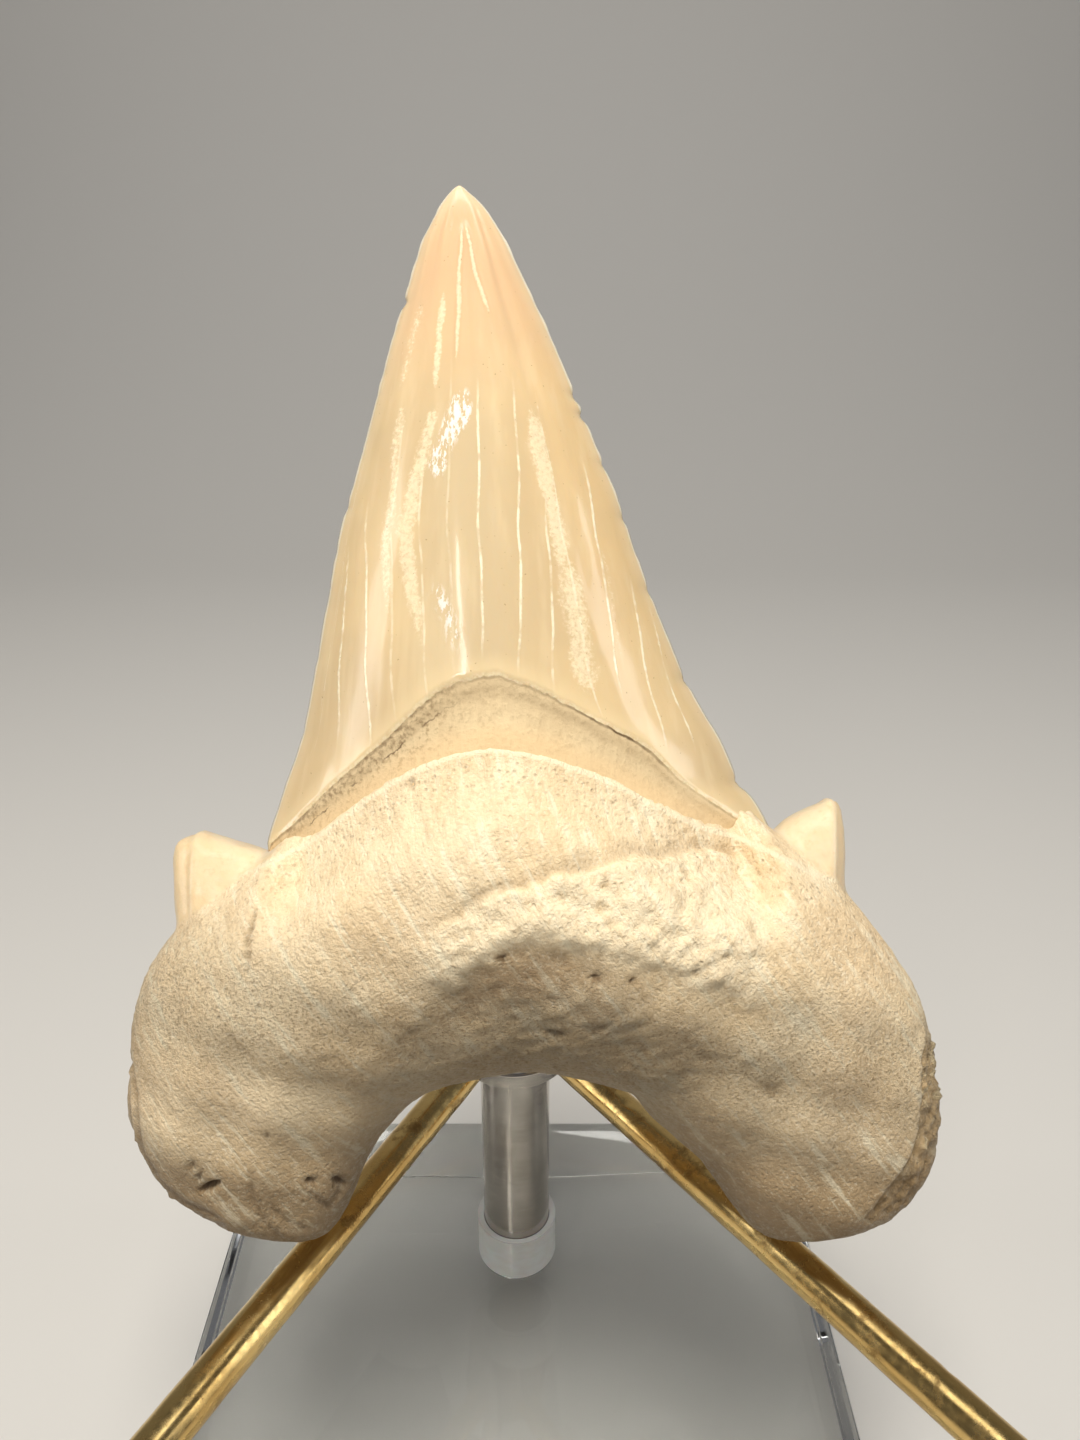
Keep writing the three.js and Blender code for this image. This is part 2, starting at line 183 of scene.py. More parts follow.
def relax(mesh, weight, rounds):  # evens out the vertices where the weight says so
    edges = np.zeros(len(mesh.edges) * 2, np.int32)
    mesh.edges.foreach_get("vertices", edges)
    a, b = edges.reshape(-1, 2).T
    ends, others = np.concatenate([a, b]), np.concatenate([b, a])
    points = vertexArray(mesh)
    degree = np.bincount(ends, minlength=len(points))[:, None]
    for _ in range(rounds):
        mean = np.stack([np.bincount(ends, points[others, k], len(points)) for k in range(3)], 1) / degree
        points += (mean - points) * weight[:, None]
    setVertices(mesh, points)


def keepValues(mesh, **kept):  # values for each vertex, which the material reads by name
    for name, values in kept.items():
        kind, key = ("FLOAT_VECTOR", "vector") if values.ndim == 2 else ("FLOAT", "value")
        mesh.attributes.new(name, kind, "POINT").data.foreach_set(key, values.astype(np.float32).ravel())


def finishPiece(piece, material, slot, *nodes, smoothAngle=40):
    piece.data.materials.clear()
    piece.data.materials.append(material)
    piece.data.polygons.foreach_set("use_smooth", [True] * len(piece.data.polygons))
    if smoothAngle:
        piece.data.set_sharp_from_angle(angle=math.radians(smoothAngle))
    for node in nodes:
        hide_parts(node)
    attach(piece, "root")
    print("made", piece.name, len(piece.data.polygons), "faces")
    return piece


class Shade:  # a value in a material's tree that can be used in a plain sum
    def __init__(self, tree, socket=None):
        self.tree = tree
        self.socket = socket

    def node(self, kind, settings, values, output=0):
        made = self.tree.nodes.new(kind)
        for key, value in settings.items():
            setattr(made, key, value)
        for key, value in values.items():
            if isinstance(value, Shade):
                self.tree.links.new(value.socket, made.inputs[key])
            else:
                made.inputs[key].default_value = value
        return Shade(self.tree, made.outputs[output] if len(made.outputs) else None)

    def maths(self, operation, a, b=0.0):
        return self.node("ShaderNodeMath", {"operation": operation}, {0: a, 1: b})

    def __add__(self, other): return self.maths("ADD", self, other)
    def __radd__(self, other): return self.maths("ADD", other, self)
    def __sub__(self, other): return self.maths("SUBTRACT", self, other)
    def __rsub__(self, other): return self.maths("SUBTRACT", other, self)
    def __mul__(self, other): return self.maths("MULTIPLY", self, other)
    def __rmul__(self, other): return self.maths("MULTIPLY", other, self)
    def __abs__(self): return self.maths("ABSOLUTE", self)

    # eases from start to end as the value goes from low to high
    def ramp(self, low, high, start=0.0, end=1.0):
        return self.node("ShaderNodeMapRange", {"interpolation_type": "SMOOTHSTEP"},
                         {0: self, 1: low, 2: high, 3: start, 4: end})

    def tint(self, base, colour):  # lays a colour over a base where this value is 1
        base, colour = (part if isinstance(part, Shade) else linear(*part) for part in (base, colour))
        return self.node("ShaderNodeMix", {"data_type": "RGBA"}, {0: self, 6: base, 7: colour}, 2)

    def coats(self, base, layers):  # lays each (mask, colour) over the one before
        for mask, colour in layers:
            base = mask.tint(base, colour)
        return base

    def relief(self, strength, distance, height):
        return self.node("ShaderNodeBump", {}, {"Strength": strength, "Distance": distance, "Height": height})

    def surface(self, values):
        return self.node("ShaderNodeBsdfPrincipled", {}, values)

    def place(self):  # the place on the object
        return self.node("ShaderNodeTexCoord", {}, {}, 3)

    def read(self, name, output=2):
        return self.node("ShaderNodeAttribute", {"attribute_name": name}, {}, output)

    def grain(self, points, scale, detail=4.0, rough=0.55, stretch=None):
        if stretch:
            points = self.node("ShaderNodeMapping", {}, {"Vector": points, **stretch})
        values = {"Vector": points, "Scale": scale, "Detail": detail, "Roughness": rough}
        return self.node("ShaderNodeTexNoise", {}, values)


def linear(red, green, blue):  # a colour as seen on a screen, from 0 to 255
    def channel(value):
        value /= 255
        return value / 12.92 if value <= 0.04045 else ((value + 0.055) / 1.055) ** 2.4
    return (channel(red), channel(green), channel(blue), 1.0)


def newMaterial(name, look):  # look is a function that makes the shader
    material = bpy.data.materials.new(name)
    material.use_nodes = True
    material.node_tree.nodes.clear()
    paint = Shade(material.node_tree)
    paint.node("ShaderNodeOutputMaterial", {}, {"Surface": look(paint)})
    return material


crown = dict(
    rows=(64, 176), columns=150, foot=27.0, tip=(-6.4, 89.6), lens=0.86,
    left=[[24, -21.5], [31, -22.8], [33, -23.0], [36, -22.2], [39, -21.2], [42.5, -20.0], [48, -18.9],
          [57, -17.3], [61, -16.5], [65.5, -15.2], [72, -13.5], [76.5, -12.3], [80.8, -11.0], [85, -9.7],
          [86.2, -9.1], [87.3, -8.55], [88.3, -7.95], [88.9, -7.5], [89.4, -6.95], [89.6, -6.5]],
    right=[[24, 19.5], [31, 20.4], [34, 20.4], [36.7, 19.2], [39.2, 17.5], [42.4, 16.0], [46.1, 13.8],
           [52.3, 11.1], [58.7, 8.7], [62.4, 7.5], [66.6, 5.8], [71, 4.0], [77, 1.5], [80.8, -0.3],
           [85, -2.3], [86.75, -3.35], [87.8, -4.1], [88.5, -4.75], [89.1, -5.45], [89.5, -6.0],
           [89.6, -6.3]],
    front=[[24, 9.6], [36, 9.6], [45, 8.9], [55, 7.6], [65, 5.9], [75, 4.0], [83, 2.4], [87.5, 1.2],
           [89.6, 0.45]],
    back=[[24, 4.0], [34, 3.8], [45, 3.2], [65, 2.0], [80, 1.1], [89.6, 0.35]],
    borderFront=[[-1, 33.0], [-0.88, 35.6], [-0.77, 38.2], [-0.68, 40.0], [-0.52, 42.8], [-0.28, 46.2],
                 [-0.08, 47.3], [0.02, 47.4], [0.15, 46.5], [0.31, 45.1], [0.43, 43.8], [0.62, 41.4],
                 [0.73, 38.6], [0.86, 36.0], [1, 34.2]],
    borderBack=[[-1, 32.6], [-0.75, 30.2], [-0.3, 31.8], [0.1, 32.4], [0.5, 31.6], [0.8, 30.6], [1, 34.0]],
    # chips out of the cutting edges: height, depth, half width, and -1 for the left edge
    chips=[[71.6, 0.35, 0.5, 1], [69.9, 0.45, 0.45, 1], [65.8, 0.25, 0.4, 1], [61.2, 0.3, 0.5, 1],
           [79.6, 0.4, 0.4, -1], [62.2, 0.2, 0.6, -1], [47.3, 0.3, 0.5, 1], [38.6, 0.5, 0.6, 1],
           [55.0, 0.2, 0.6, 1]],
    # two fine ridges that part below the tip, with painted highlights as their pale lines, the broad pale
    # streaks, one a painted highlight, and the frosted places, whitened partly as a painted glint: width and
    # strength of the pale colour, and its line of [x, z]
    ridges=[[0.16, 1.2, [[-6.0, 86.6], [-6.25, 79.0], [-6.4, 72.0]]],
            [0.15, 1.2, [[-5.9, 86.6], [-4.9, 81.5], [-3.3, 76.4]]]],
    streaks=[[0.5, 0.7, [[-10.9, 72], [-11.3, 66], [-12.1, 58], [-11.3, 48.3]]],
             [0.65, 0.9, [[-7.6, 71], [-8.5, 67.4], [-10.5, 59.2], [-9.6, 53.5], [-8.2, 46.5]]],
             [0.75, 1.0, [[-0.8, 71.5], [0.9, 64.4], [2.0, 59.0], [2.6, 54.5]]],
             [1.15, 0.8, [[2.3, 58.5], [3.4, 53.0], [3.9, 48.3], [5.0, 44.8]]],
             # a painted highlight down the left of the tip
             [0.30, 1.0, [[-7.5, 80.5], [-7.9, 74.5], [-8.1, 70.0]]],
             [0.6, 0.5, [[-9.2, 80.0], [-10.4, 75.0], [-11.4, 70.5]]],
             [0.3, 0.4, [[5.2, 60], [6.4, 54], [7.4, 46]]]],
    frost=[[0.75, 1.0, [[-5.4, 71.6], [-6.2, 68.2], [-7.6, 65.6], [-7.7, 62.6]]],
           [0.9, 0.45, [[-8.2, 55.5], [-6.6, 52.0], [-6.0, 48.6]]]],
    rim=[[-24, 31.4], [-19.1, 33.6], [-15.7, 35.9], [-11.4, 38.9], [-7.7, 40.7], [-3.9, 41.7],
         [-0.8, 41.5], [3.5, 40.2], [8.7, 37.8], [12.1, 36.0], [17.8, 33.9], [24, 31.0]],
)


def crownEdges(z):
    return readCurve(crown["left"], z), readCurve(crown["right"], z)


def crownPoint(place, z, onFront, inset):
    left, right = crownEdges(z)
    column = makePoints(0, 0, z)
    wear = {side: 0.06 + 0.07 * softNoise(column, size, seed, 2)
            for side, size, seed in ((-1, 1.1, 31), (1, 1.3, 37))}
    for height, depth, reach, side in crown["chips"]:
        wear[side] = wear[side] + depth * bump(z - height, reach)
    depth = np.where(onFront, inset - readCurve(crown["front"], z), readCurve(crown["back"], z) - inset)
    across = np.clip(1 - place * place, 0, 1) ** crown["lens"]
    half = (right - left) / 2 - inset
    x = (left + right) / 2 + place * half + np.where(place < 0, wear[-1], -wear[1]) * np.abs(place) ** 14
    return makePoints(x, depth * across, z)


def enamelBorder(place, onFront):
    jagged = makePoints(place * 20, 0, 0)
    wander = 0.30 * softNoise(jagged, 1.5, 5, 4) + 0.20 * softNoise(jagged, 0.30, 6, 3)
    frontBorder, backBorder = readCurve(crown["borderFront"], place), readCurve(crown["borderBack"], place)
    return np.where(onFront, frontBorder, backBorder) + wander * (1 - np.abs(place))


def nearLine(x, z, line):  # distance to a broken line, and the share of the way along it
    best, along = np.full(x.shape, 1e9), np.zeros(x.shape)
    for k, ((ax, az), (bx, bz)) in enumerate(zip(line, line[1:])):
        t = np.clip(((x - ax) * (bx - ax) + (z - az) * (bz - az)) / ((bx - ax) ** 2 + (bz - az) ** 2), 0, 1)
        distance = np.hypot(x - ax - t * (bx - ax), z - az - t * (bz - az))
        along = np.where(distance < best, (k + t) / (len(line) - 1), along)
        best = np.minimum(best, distance)
    return best, along


# Fine cracks down the enamel: place across at the top and bottom of each, its heights, and how strong it is
crackLines = [
    [-0.93, -0.90, 78, 40, 0.25], [-0.89, -0.79, 58, 43, 0.8], [-0.78, -0.61, 61, 42, 0.9],
    [-0.63, -0.50, 69, 44, 0.35], [-0.42, -0.33, 66, 44, 0.45], [-0.22, -0.20, 73, 48, 0.25],
    [0.03, -0.05, 71, 49.5, 0.9], [0.36, 0.12, 71, 48, 0.9], [0.45, 0.27, 62, 46.5, 0.75],
    [0.56, 0.45, 72, 44, 0.5], [0.80, 0.59, 65, 46, 0.9], [0.86, 0.70, 55, 42, 0.8],
    [0.93, 0.84, 53, 42, 0.75],
]


def crackPlaces(place, z):
    tops, feet, highs, lows, strong = np.array(crackLines).T
    share = np.clip((z[:, None] - lows) / (highs - lows), -0.6, 1.6)
    lines = feet + (tops - feet) * share
    lines = np.sort(lines + 0.01 * softNoise(makePoints(z, 0, 0), 4.0, 3)[:, None], axis=1)
    count = len(crackLines)
    index = np.sum(place[:, None] > lines, axis=1)
    low, high = np.clip(index - 1, 0, count - 1), np.clip(index, 0, count - 1)
    rows = np.arange(len(place))
    endGap = 0.3
    gap = np.where(low == high, endGap, np.maximum(lines[rows, high] - lines[rows, low], 1e-3))
    phase = index + np.where(index == 0, (place - lines[rows, 0]) / endGap, (place - lines[rows, low]) / gap)
    nearest = np.clip(np.round(phase - 1), 0, count - 1).astype(int)
    foot, top = lows[nearest], highs[nearest]
    fade = smooth(foot - 1.0, foot + 2.0, z) * (1 - smooth(top - 3.0, top + 1.5, z))
    return phase, gap, strong[nearest] * fade


# How far the dentine lies under the enamel's face, by distance under the enamel's border
def neckInset(below):
    return 0.12 + 0.36 * smooth(0, 1.8, below) - 0.25 * smooth(3.0, 6.5, below)


def makeCrown():
    half = crown["columns"]
    step = np.linspace(0, 1, half, endpoint=False)
    sweep = 0.72 * (2 * step - 1) - 0.28 * np.cos(np.pi * step)
    place = np.concatenate([sweep, -sweep])
    onFront = np.concatenate([np.ones(half, bool), np.zeros(half, bool)])
    border = enamelBorder(place, onFront)
    neckRows, enamelRows = crown["rows"]
    rings = []
    for k in range(neckRows):
        z = crown["foot"] + (border - 0.02 - crown["foot"]) * (k / (neckRows - 1)) ** 0.8
        rings.append(crownPoint(place, z, onFront, neckInset(border - z)))
    for k in range(enamelRows):
        share = k / (enamelRows - 1)
        rise = 0.35 * share + 0.65 * math.sin(math.pi / 2 * share)
        z = border + (crown["tip"][1] - 0.12 - border) * rise
        rings.append(crownPoint(place, z, onFront, 0.12 * bump(z - border, 0.12)))
    tipX, tipZ = crown["tip"]
    points, faces = skinRings(np.array(rings), (-1.5, -2.0, crown["foot"]), (tipX, 0, tipZ))
    piece = newPiece("tooth_crown", points, faces)
    mesh = piece.data
    x, y, z = points.T
    left, right = crownEdges(z)
    halfWidth = (right - left) / 2
    across = np.clip((x - (left + right) / 2) / halfWidth, -1, 1)
    front = y < 0
    edge = z - enamelBorder(across, front)
    nudge = 0.03  # of half the width, to each side
    slope = enamelBorder(across + nudge, front) - enamelBorder(across - nudge, front)
    edge = edge / np.sqrt(1 + np.clip(slope / (2 * nudge * halfWidth), -1.5, 1.5) ** 2)
    phase, gap, strength = crackPlaces(across, z)
    streak, frost = np.zeros(len(x)), np.zeros(len(x))
    wavy = x + 0.15 * softNoise(points, 3.0, 15, 2)
    uneven = 1 + 0.55 * softNoise(points, (0.8, 0.8, 3.0), 18, 3)
    # pale streaks, with painted highlights along the ridges and down the left of the tip, and the frosted
    # places, whitened partly as a painted glint
    for values, table in ((streak, crown["streaks"] + crown["ridges"]), (frost, crown["frost"])):
        for width, strong, line in table:
            distance, along = nearLine(wavy, z, line)
            ends = smooth(0, 0.22, along) * smooth(1, 0.72, along)
            shown = strong * bump(distance, width * uneven * (0.5 + 0.5 * ends)) * ends * front
            np.maximum(values, shown, out=values)
    keepValues(mesh, toothAt=points / 10, enamelEdge=edge, sideways=across, streak=streak, frost=frost,
               aboveRim=(z - readCurve(crown["rim"], x)) * 0.85, fromEdge=(1 - np.abs(across)) * halfWidth,
               frontSide=smooth(0.4, -0.4, y), crackPhase=phase, crackGap=gap * halfWidth,
               crackStrength=np.where(front, strength, 0.4 * strength))
    # low swells along the crown, the two ridges, and the uneven dentine below the enamel
    normals = vertexArray(mesh, "normal")
    enamel = smooth(-0.1, 0.2, edge)
    inside = np.clip(1 - across ** 2, 0, 1) ** 0.5 * (1 - smooth(85.5, 88.5, z))
    swell = softNoise(makePoints(across * 5, z * 0.05, front * 9.0), 1.0, 11, 2)
    ridge = np.zeros(len(x))
    for *_, line in crown["ridges"]:
        distance, along = nearLine(x, z, line)
        ends = smooth(0, 0.15, along) * (1 - smooth(0.8, 1, along))
        ridge = np.maximum(ridge, 0.10 * bump(distance, 0.20) * ends)
    between = bump(x + 5.9 - 0.10 * (86 - z), 1.1) * smooth(72, 78, z) * front
    fold = -0.12 * bump(across - 0.60 + 0.003 * (z - 50), 0.07) * smooth(44, 60, z) * front
    frosted = 0.05 * frost * softNoise(points, (0.35, 0.5, 0.6), 16, 2)
    move = 0.12 * swell + 0.05 * softNoise(points, (2.2, 2.2, 9.0), 19, 2)
    move = move + 0.02 * softNoise(points, (2.0, 2.0, 5.0), 12, 2) + ridge * front + fold
    move = enamel * inside * (move - 0.08 * between + frosted + 0.03 * streak)
    rows = softNoise(makePoints(across * 60, 0, z * 0.3), 1.0, 17, 2)
    neckRough = 0.05 * softNoise(points, 0.9, 14, 3) + 0.04 * rows * front - 0.07 * bump(edge + 0.2, 0.22)
    move = move + (1 - enamel) * neckRough - 0.05
    move = np.where(z > 89.2, -0.03, move)
    setVertices(mesh, points + normals * move[:, None])
    mesh.transform(toothMatrix)
    return piece


root = dict(
    rings=230, sides=120, ends=[[-23.4, 1.7], [24.6, 1.9]], crowding=0.055, voxel=0.36,
    # outer x and z, inner x and z, depth to the front and back, from the left lobe's end to the right one's
    stations=[[-26.4, 2.4, -19.6, 0.7, 3.6, 3.0], [-28.9, 3.7, -17.2, 1.0, 5.2, 3.9],
              [-31.1, 5.7, -15.9, 2.6, 6.5, 4.5], [-33.0, 8.5, -14.5, 5.9, 7.5, 4.9],
              [-33.9, 11.9, -12.7, 9.2, 8.3, 5.1], [-33.6, 16.3, -10.1, 12.0, 9.1, 5.1],
              [-32.9, 21.3, -7.8, 13.4, 9.9, 5.0], [-30.3, 26.2, -5.6, 14.1, 10.7, 4.8],
              [-24.6, 31.0, -3.8, 14.4, 11.4, 4.5], [-18.6, 36.0, -2.4, 14.5, 12.0, 4.2],
              [-12.2, 41.3, -1.2, 14.6, 12.6, 4.0], [-4.2, 45.0, -0.1, 14.6, 13.0, 3.9],
              [4.0, 43.7, 1.0, 14.5, 12.9, 3.9], [11.8, 39.7, 2.4, 14.3, 12.4, 4.0],
              [17.6, 36.5, 4.0, 14.0, 11.8, 4.2], [24.0, 31.8, 5.8, 13.6, 11.2, 4.5],
              [28.6, 26.6, 7.8, 13.0, 10.5, 4.8], [32.0, 21.4, 9.5, 11.1, 9.7, 5.0],
              [33.6, 15.8, 11.5, 9.3, 8.9, 5.1], [34.0, 11.2, 13.7, 7.3, 8.1, 5.1],
              [33.2, 7.0, 15.5, 4.8, 7.3, 4.9], [31.4, 4.1, 17.4, 2.3, 6.2, 4.5],
              [29.1, 2.7, 19.4, 1.0, 5.0, 3.9], [27.0, 2.2, 22.0, 1.2, 3.4, 3.0]],
    # cusp outlines from the root up: height, left x, right x, depth to the front and back
    leftCusp=[[23.5, -29.3, -21.0, 5.2, 3.6], [27.0, -30.3, -21.4, 4.8, 3.4],
              [30.2, -30.7, -21.4, 4.0, 3.0], [32.4, -30.8, -22.2, 3.0, 2.4],
              [33.7, -30.5, -25.6, 2.0, 1.6], [34.2, -29.5, -27.2, 1.0, 0.9]],
    rightCusp=[[26.0, 18.0, 26.8, 5.0, 3.4], [30.3, 19.0, 26.4, 4.6, 3.2], [33.4, 20.0, 26.5, 3.6, 2.8],
               [35.2, 21.2, 26.4, 2.6, 2.1], [36.4, 23.2, 26.3, 1.7, 1.4], [37.1, 25.1, 26.0, 0.7, 0.7]],
    # where each cusp grows out of the root: x, z and slope of its foot, and the x it fades in between
    cuspFeet=[[-28.3, 27.6, 0.78, -21.0, -21.8], [18.9, 35.3, -0.80, 19.4, 20.2]],
    # ridge before each cusp's outer face: x, slant, z, side, and the width of the change
    cuspFaces=[[-28.0, -0.10, 31, -1, 0.6], [24.7, 0.12, 34, 1, 0.5]],
    # pits: x, z, half width, half length, turn in degrees, depth
    pits=[[-26.9, 8.9, 0.24, 0.45, -35, 0.4], [-26.4, 8.0, 0.18, 0.6, -30, 0.4],
          [-25.6, 7.1, 0.30, 0.95, -60, 1.0], [-21.7, 28.8, 0.22, 0.35, 10, 0.35],
          [-21.9, 27.9, 0.25, 0.5, -10, 0.4], [-22.0, 27.0, 0.22, 0.45, 15, 0.45],
          [-21.9, 26.0, 0.28, 0.4, 0, 0.35], [-21.8, 25.1, 0.2, 0.35, 0, 0.3],
          [-17.7, 7.3, 0.3, 0.5, 60, 0.6], [-15.7, 6.7, 0.28, 0.6, 35, 0.8],
          [-20.7, 11.6, 0.2, 0.4, 10, 0.3], [1.7, 20.3, 0.26, 0.8, 80, 0.4],
          [-9.6, 39.0, 0.3, 0.4, 0, 0.35], [-2.5, 26.4, 0.3, 0.4, 30, 0.5],
          [4.6, 24.9, 0.3, 0.5, 60, 0.5], [7.4, 24.6, 0.25, 0.35, 0, 0.4],
          [18.2, 15.4, 0.5, 0.9, 40, 0.25]],
    backPits=[[-6.5, 22.5, 0.6, 1.0, 20, 1.0], [3.0, 20.8, 0.8, 1.2, -15, 1.1],
              [10.5, 23.5, 0.5, 0.8, 40, 0.9]],
    ledge=[[-18, 22.5], [-11.2, 26.4], [-6.8, 28.4], [-3.9, 30.6], [-0.6, 32.0], [2.1, 32.7], [9, 33.6],
           [17.2, 32.3], [24, 27]],
    brow=[[-12, 22.5], [-8.5, 23.9], [-5.8, 24.8], [-3.8, 26.7], [0.5, 28.0], [4, 27.4], [7.5, 26.6],
          [12, 24.8], [16.9, 22.4], [24, 18]],
    # inner line of the strip that broke away along the right lobe
    worn=[[31.9, 19.6], [31.0, 17.7], [30.7, 15.7], [30.6, 13.5], [30.0, 10.1], [28.6, 7.9], [27.3, 6.0],
          [26.2, 4.3]],
    creases=[[[-21.5, 8.6], [-21.8, 6.3], [-21.2, 4.6], [-20.1, 2.4]],
             [[-20.3, 5.2], [-19.4, 4.0], [-18.1, 3.1]],
             [[-17.3, 6.2], [-16.6, 5.2], [-16.2, 4.5], [-15.4, 5.6]]],
    leftEdge=[[-32.9, 15.5], [-32.4, 12.8], [-32.3, 9.3], [-30.8, 6.9], [-28.6, 4.9], [-25.5, 3.6]],
)


def rootRelief(x, z):
    pastLedge = ((x + 9) * 7 - (z - 23.2) * 8) / math.hypot(7, 8)
    hump = 0.8 * smooth(-0.6, 0.9, pastLedge) * bump(x - 5.5, 10) * bump(z - 25.5, 6.5)
    hollow = -0.7 * bump(x + 2.5, 5) * bump(z - 20.6, 2.2)
    lumps = 0.22 * np.sin(0.62 * x + 0.35 * z) * np.sin(0.27 * x - 0.71 * z + 0.8)
    return hump + hollow + lumps


def rootRings(along, sides):
    turn = np.linspace(0, 2 * np.pi, sides, endpoint=False)[None, :]
    at = along * (len(root["stations"]) - 1)
    outerX, outerZ, innerX, innerZ, front, back = readTable(root["stations"], at[:, None])
    across = 0.5 + 0.5 * power(np.cos(turn), 0.86)
    x, z = innerX + (outerX - innerX) * across, innerZ + (outerZ - innerZ) * across
    rise = np.sin(turn)
    shape = 0.72 + 0.23 * bump(along[:, None] - 0.5, 0.2)
    underCrown = 0.45 + 0.55 * (1 - smooth(29.5, 33, z))
    dish = 0.7 * bump(x - 1, 12) * bump(z - 22, 5)
    y = np.where(rise > 0, -np.abs(rise) ** shape * (front + rootRelief(x, z)),
                 np.abs(rise) ** 0.52 * (back - dish) * underCrown)
    return makePoints(x, y, z)


def cuspRings(stations, sides=48, rows=40):
    at = np.linspace(0, len(stations) - 1, rows)
    z, left, right, front, back = readTable(stations, at[:, None])
    turn = np.linspace(0, 2 * np.pi, sides, endpoint=False)[None, :]
    depth = np.where(np.sin(turn) >= 0, -front, back)
    x = (left + right) / 2 + power(np.cos(turn), 0.9) * (right - left) / 2
    return makePoints(x, depth * np.abs(np.sin(turn)) ** 0.8, z)


def makeRoot():
    share = np.linspace(0, 1, root["rings"])
    spread = share + root["crowding"] * np.sin(2 * np.pi * share)
    shells = [skinRings(rootRings(spread, root["sides"]), *[(endX, 0, endZ) for endX, endZ in root["ends"]])]
    for stations in (root["leftCusp"], root["rightCusp"]):
        rings = cuspRings(stations)
        shells.append(skinRings(rings, rings[0].mean(0), rings[-1].mean(0) + np.array([0, 0, 0.15])))
    points, faces = np.zeros((0, 3)), []
    for shellPoints, shellFaces in shells:
        faces += [[index + len(points) for index in face] for face in shellFaces]
        points = np.vstack([points, shellPoints])
    piece = newPiece("tooth_root", points, faces)
    useModifier(piece, "REMESH", {"mode": "VOXEL", "voxel_size": root["voxel"]})
    mesh = piece.data
    x, y, z = vertexArray(mesh).T
    outerEnd = (x < -22.5) & (z > 29) | (x > 21) & (z > 32)
    relax(mesh, np.where(outerEnd, 0.25, 0.5), 3)
    points = vertexArray(mesh)
    x, y, z = points.T
    front = smooth(1.5, -1.5, y)
    belowRim = (readCurve(crown["rim"], x) - z) * 0.85
    # the root's face meets the crown along the rim with a low lip, and swells out below it
    left, right = crownEdges(z)
    across = (x - (left + right) / 2) / ((right - left) / 2)
    neck = (readCurve(crown["front"], z) - 0.3) * np.clip(1 - across ** 2, 0, 1) ** crown["lens"]
    meets = neck + np.where(belowRim > 0, 0.05 + 0.34 * belowRim, 1.2 * np.maximum(belowRim, -1.5) + 0.05)
    share = (1 - smooth(1.0, 6.5, belowRim)) * (1 - smooth(0.80, 0.98, np.abs(across))) * (y < -2)
    points[:, 1] = y = y * (1 - share) - meets * share
    setVertices(mesh, points)
    relax(mesh, np.full(len(mesh.vertices), 0.5) * (y < 0), 2)
    points, normals = vertexArray(mesh), vertexArray(mesh, "normal")
    x, y, z = points.T
    wave = 0.3 * softNoise(points, 1.2, 43, 2)
    cusp = np.zeros(len(x))
    for place, foot, slant, inner, outer in root["cuspFeet"]:
        above = z - foot - slant * (x - place) + wave
        cusp = np.maximum(cusp, smooth(-0.1, 0.4, above) * smooth(inner, outer, x))
    facet, cuspRidge = np.zeros(len(x)), np.zeros(len(x))
    for place, slant, height, side, width in root["cuspFaces"]:
        past = side * (x - place - slant * (z - height))
        facet = np.maximum(facet, cusp * smooth(0.2, 0.2 + width, past))
        cuspRidge = np.maximum(cuspRidge, cusp * bump(past, 0.5))
    ragged = 0.9 * softNoise(points, 1.8, 21, 3)
    pastLedge = readCurve(root["ledge"], x) - z + ragged
    aboveBrow = z - readCurve(root["brow"], x) + ragged
    middle = smooth(-10.5, -4.5, x) * smooth(19.5, 15.0, x) * front
    hump = smooth(-0.2, 0.5, pastLedge) * smooth(-1.6, 1.0, aboveBrow) * middle
    hollow = bump(x + 0.5, 6.5) * smooth(0.9, -2.0, aboveBrow) * smooth(-6.5, -2.5, aboveBrow) * front
    ledgeShade = bump(pastLedge + 0.35, 0.45) * middle
    fibres = bump(x - 5, 11) * bump(z - 20.5 + 0.15 * x, 4.2) * front
    coarse = softNoise(points, 3.2, 24, 3)
    grain = softNoise(points, 1.0, 25, 3)
    sandy = softNoise(points, 0.55, 22, 2)
    # strip that broke away along the outside of the right lobe
    wornDistance, wornAlong = nearLine(x + 0.25 * softNoise(points, 1.2, 23, 3), z, root["worn"])
    lineX = readCurve(sorted([at, place] for place, at in root["worn"]), z)
    outside = smooth(-0.15, 0.25, x - lineX) * (z < 19.5) * smooth(3.0, 5.0, z)
    outer = 1 - smooth(3.0, 3.8, wornDistance + 0.4 * grain)
    worn = outside * outer * smooth(1.0, -1.0, y) * smooth(0.0, 0.18, wornAlong)
    crumbs = smooth(0.05, 0.45, softNoise(points, 0.9, 39, 3))
    pores = smooth(0.42, 0.16, cellNoise(points, 1.15, 26))
    finePores = smooth(0.36, 0.12, cellNoise(points, 0.75, 38))
    sponge = smooth(0.5, 0.2, cellNoise(points + 0.4 * grain[:, None], 1.25, 41))
    slanting = makePoints(0.82 * x + 0.57 * z, y, 0.82 * z - 0.57 * x)
    furrow = softNoise(slanting, (3.6, 0.9, 0.75), 27, 2)
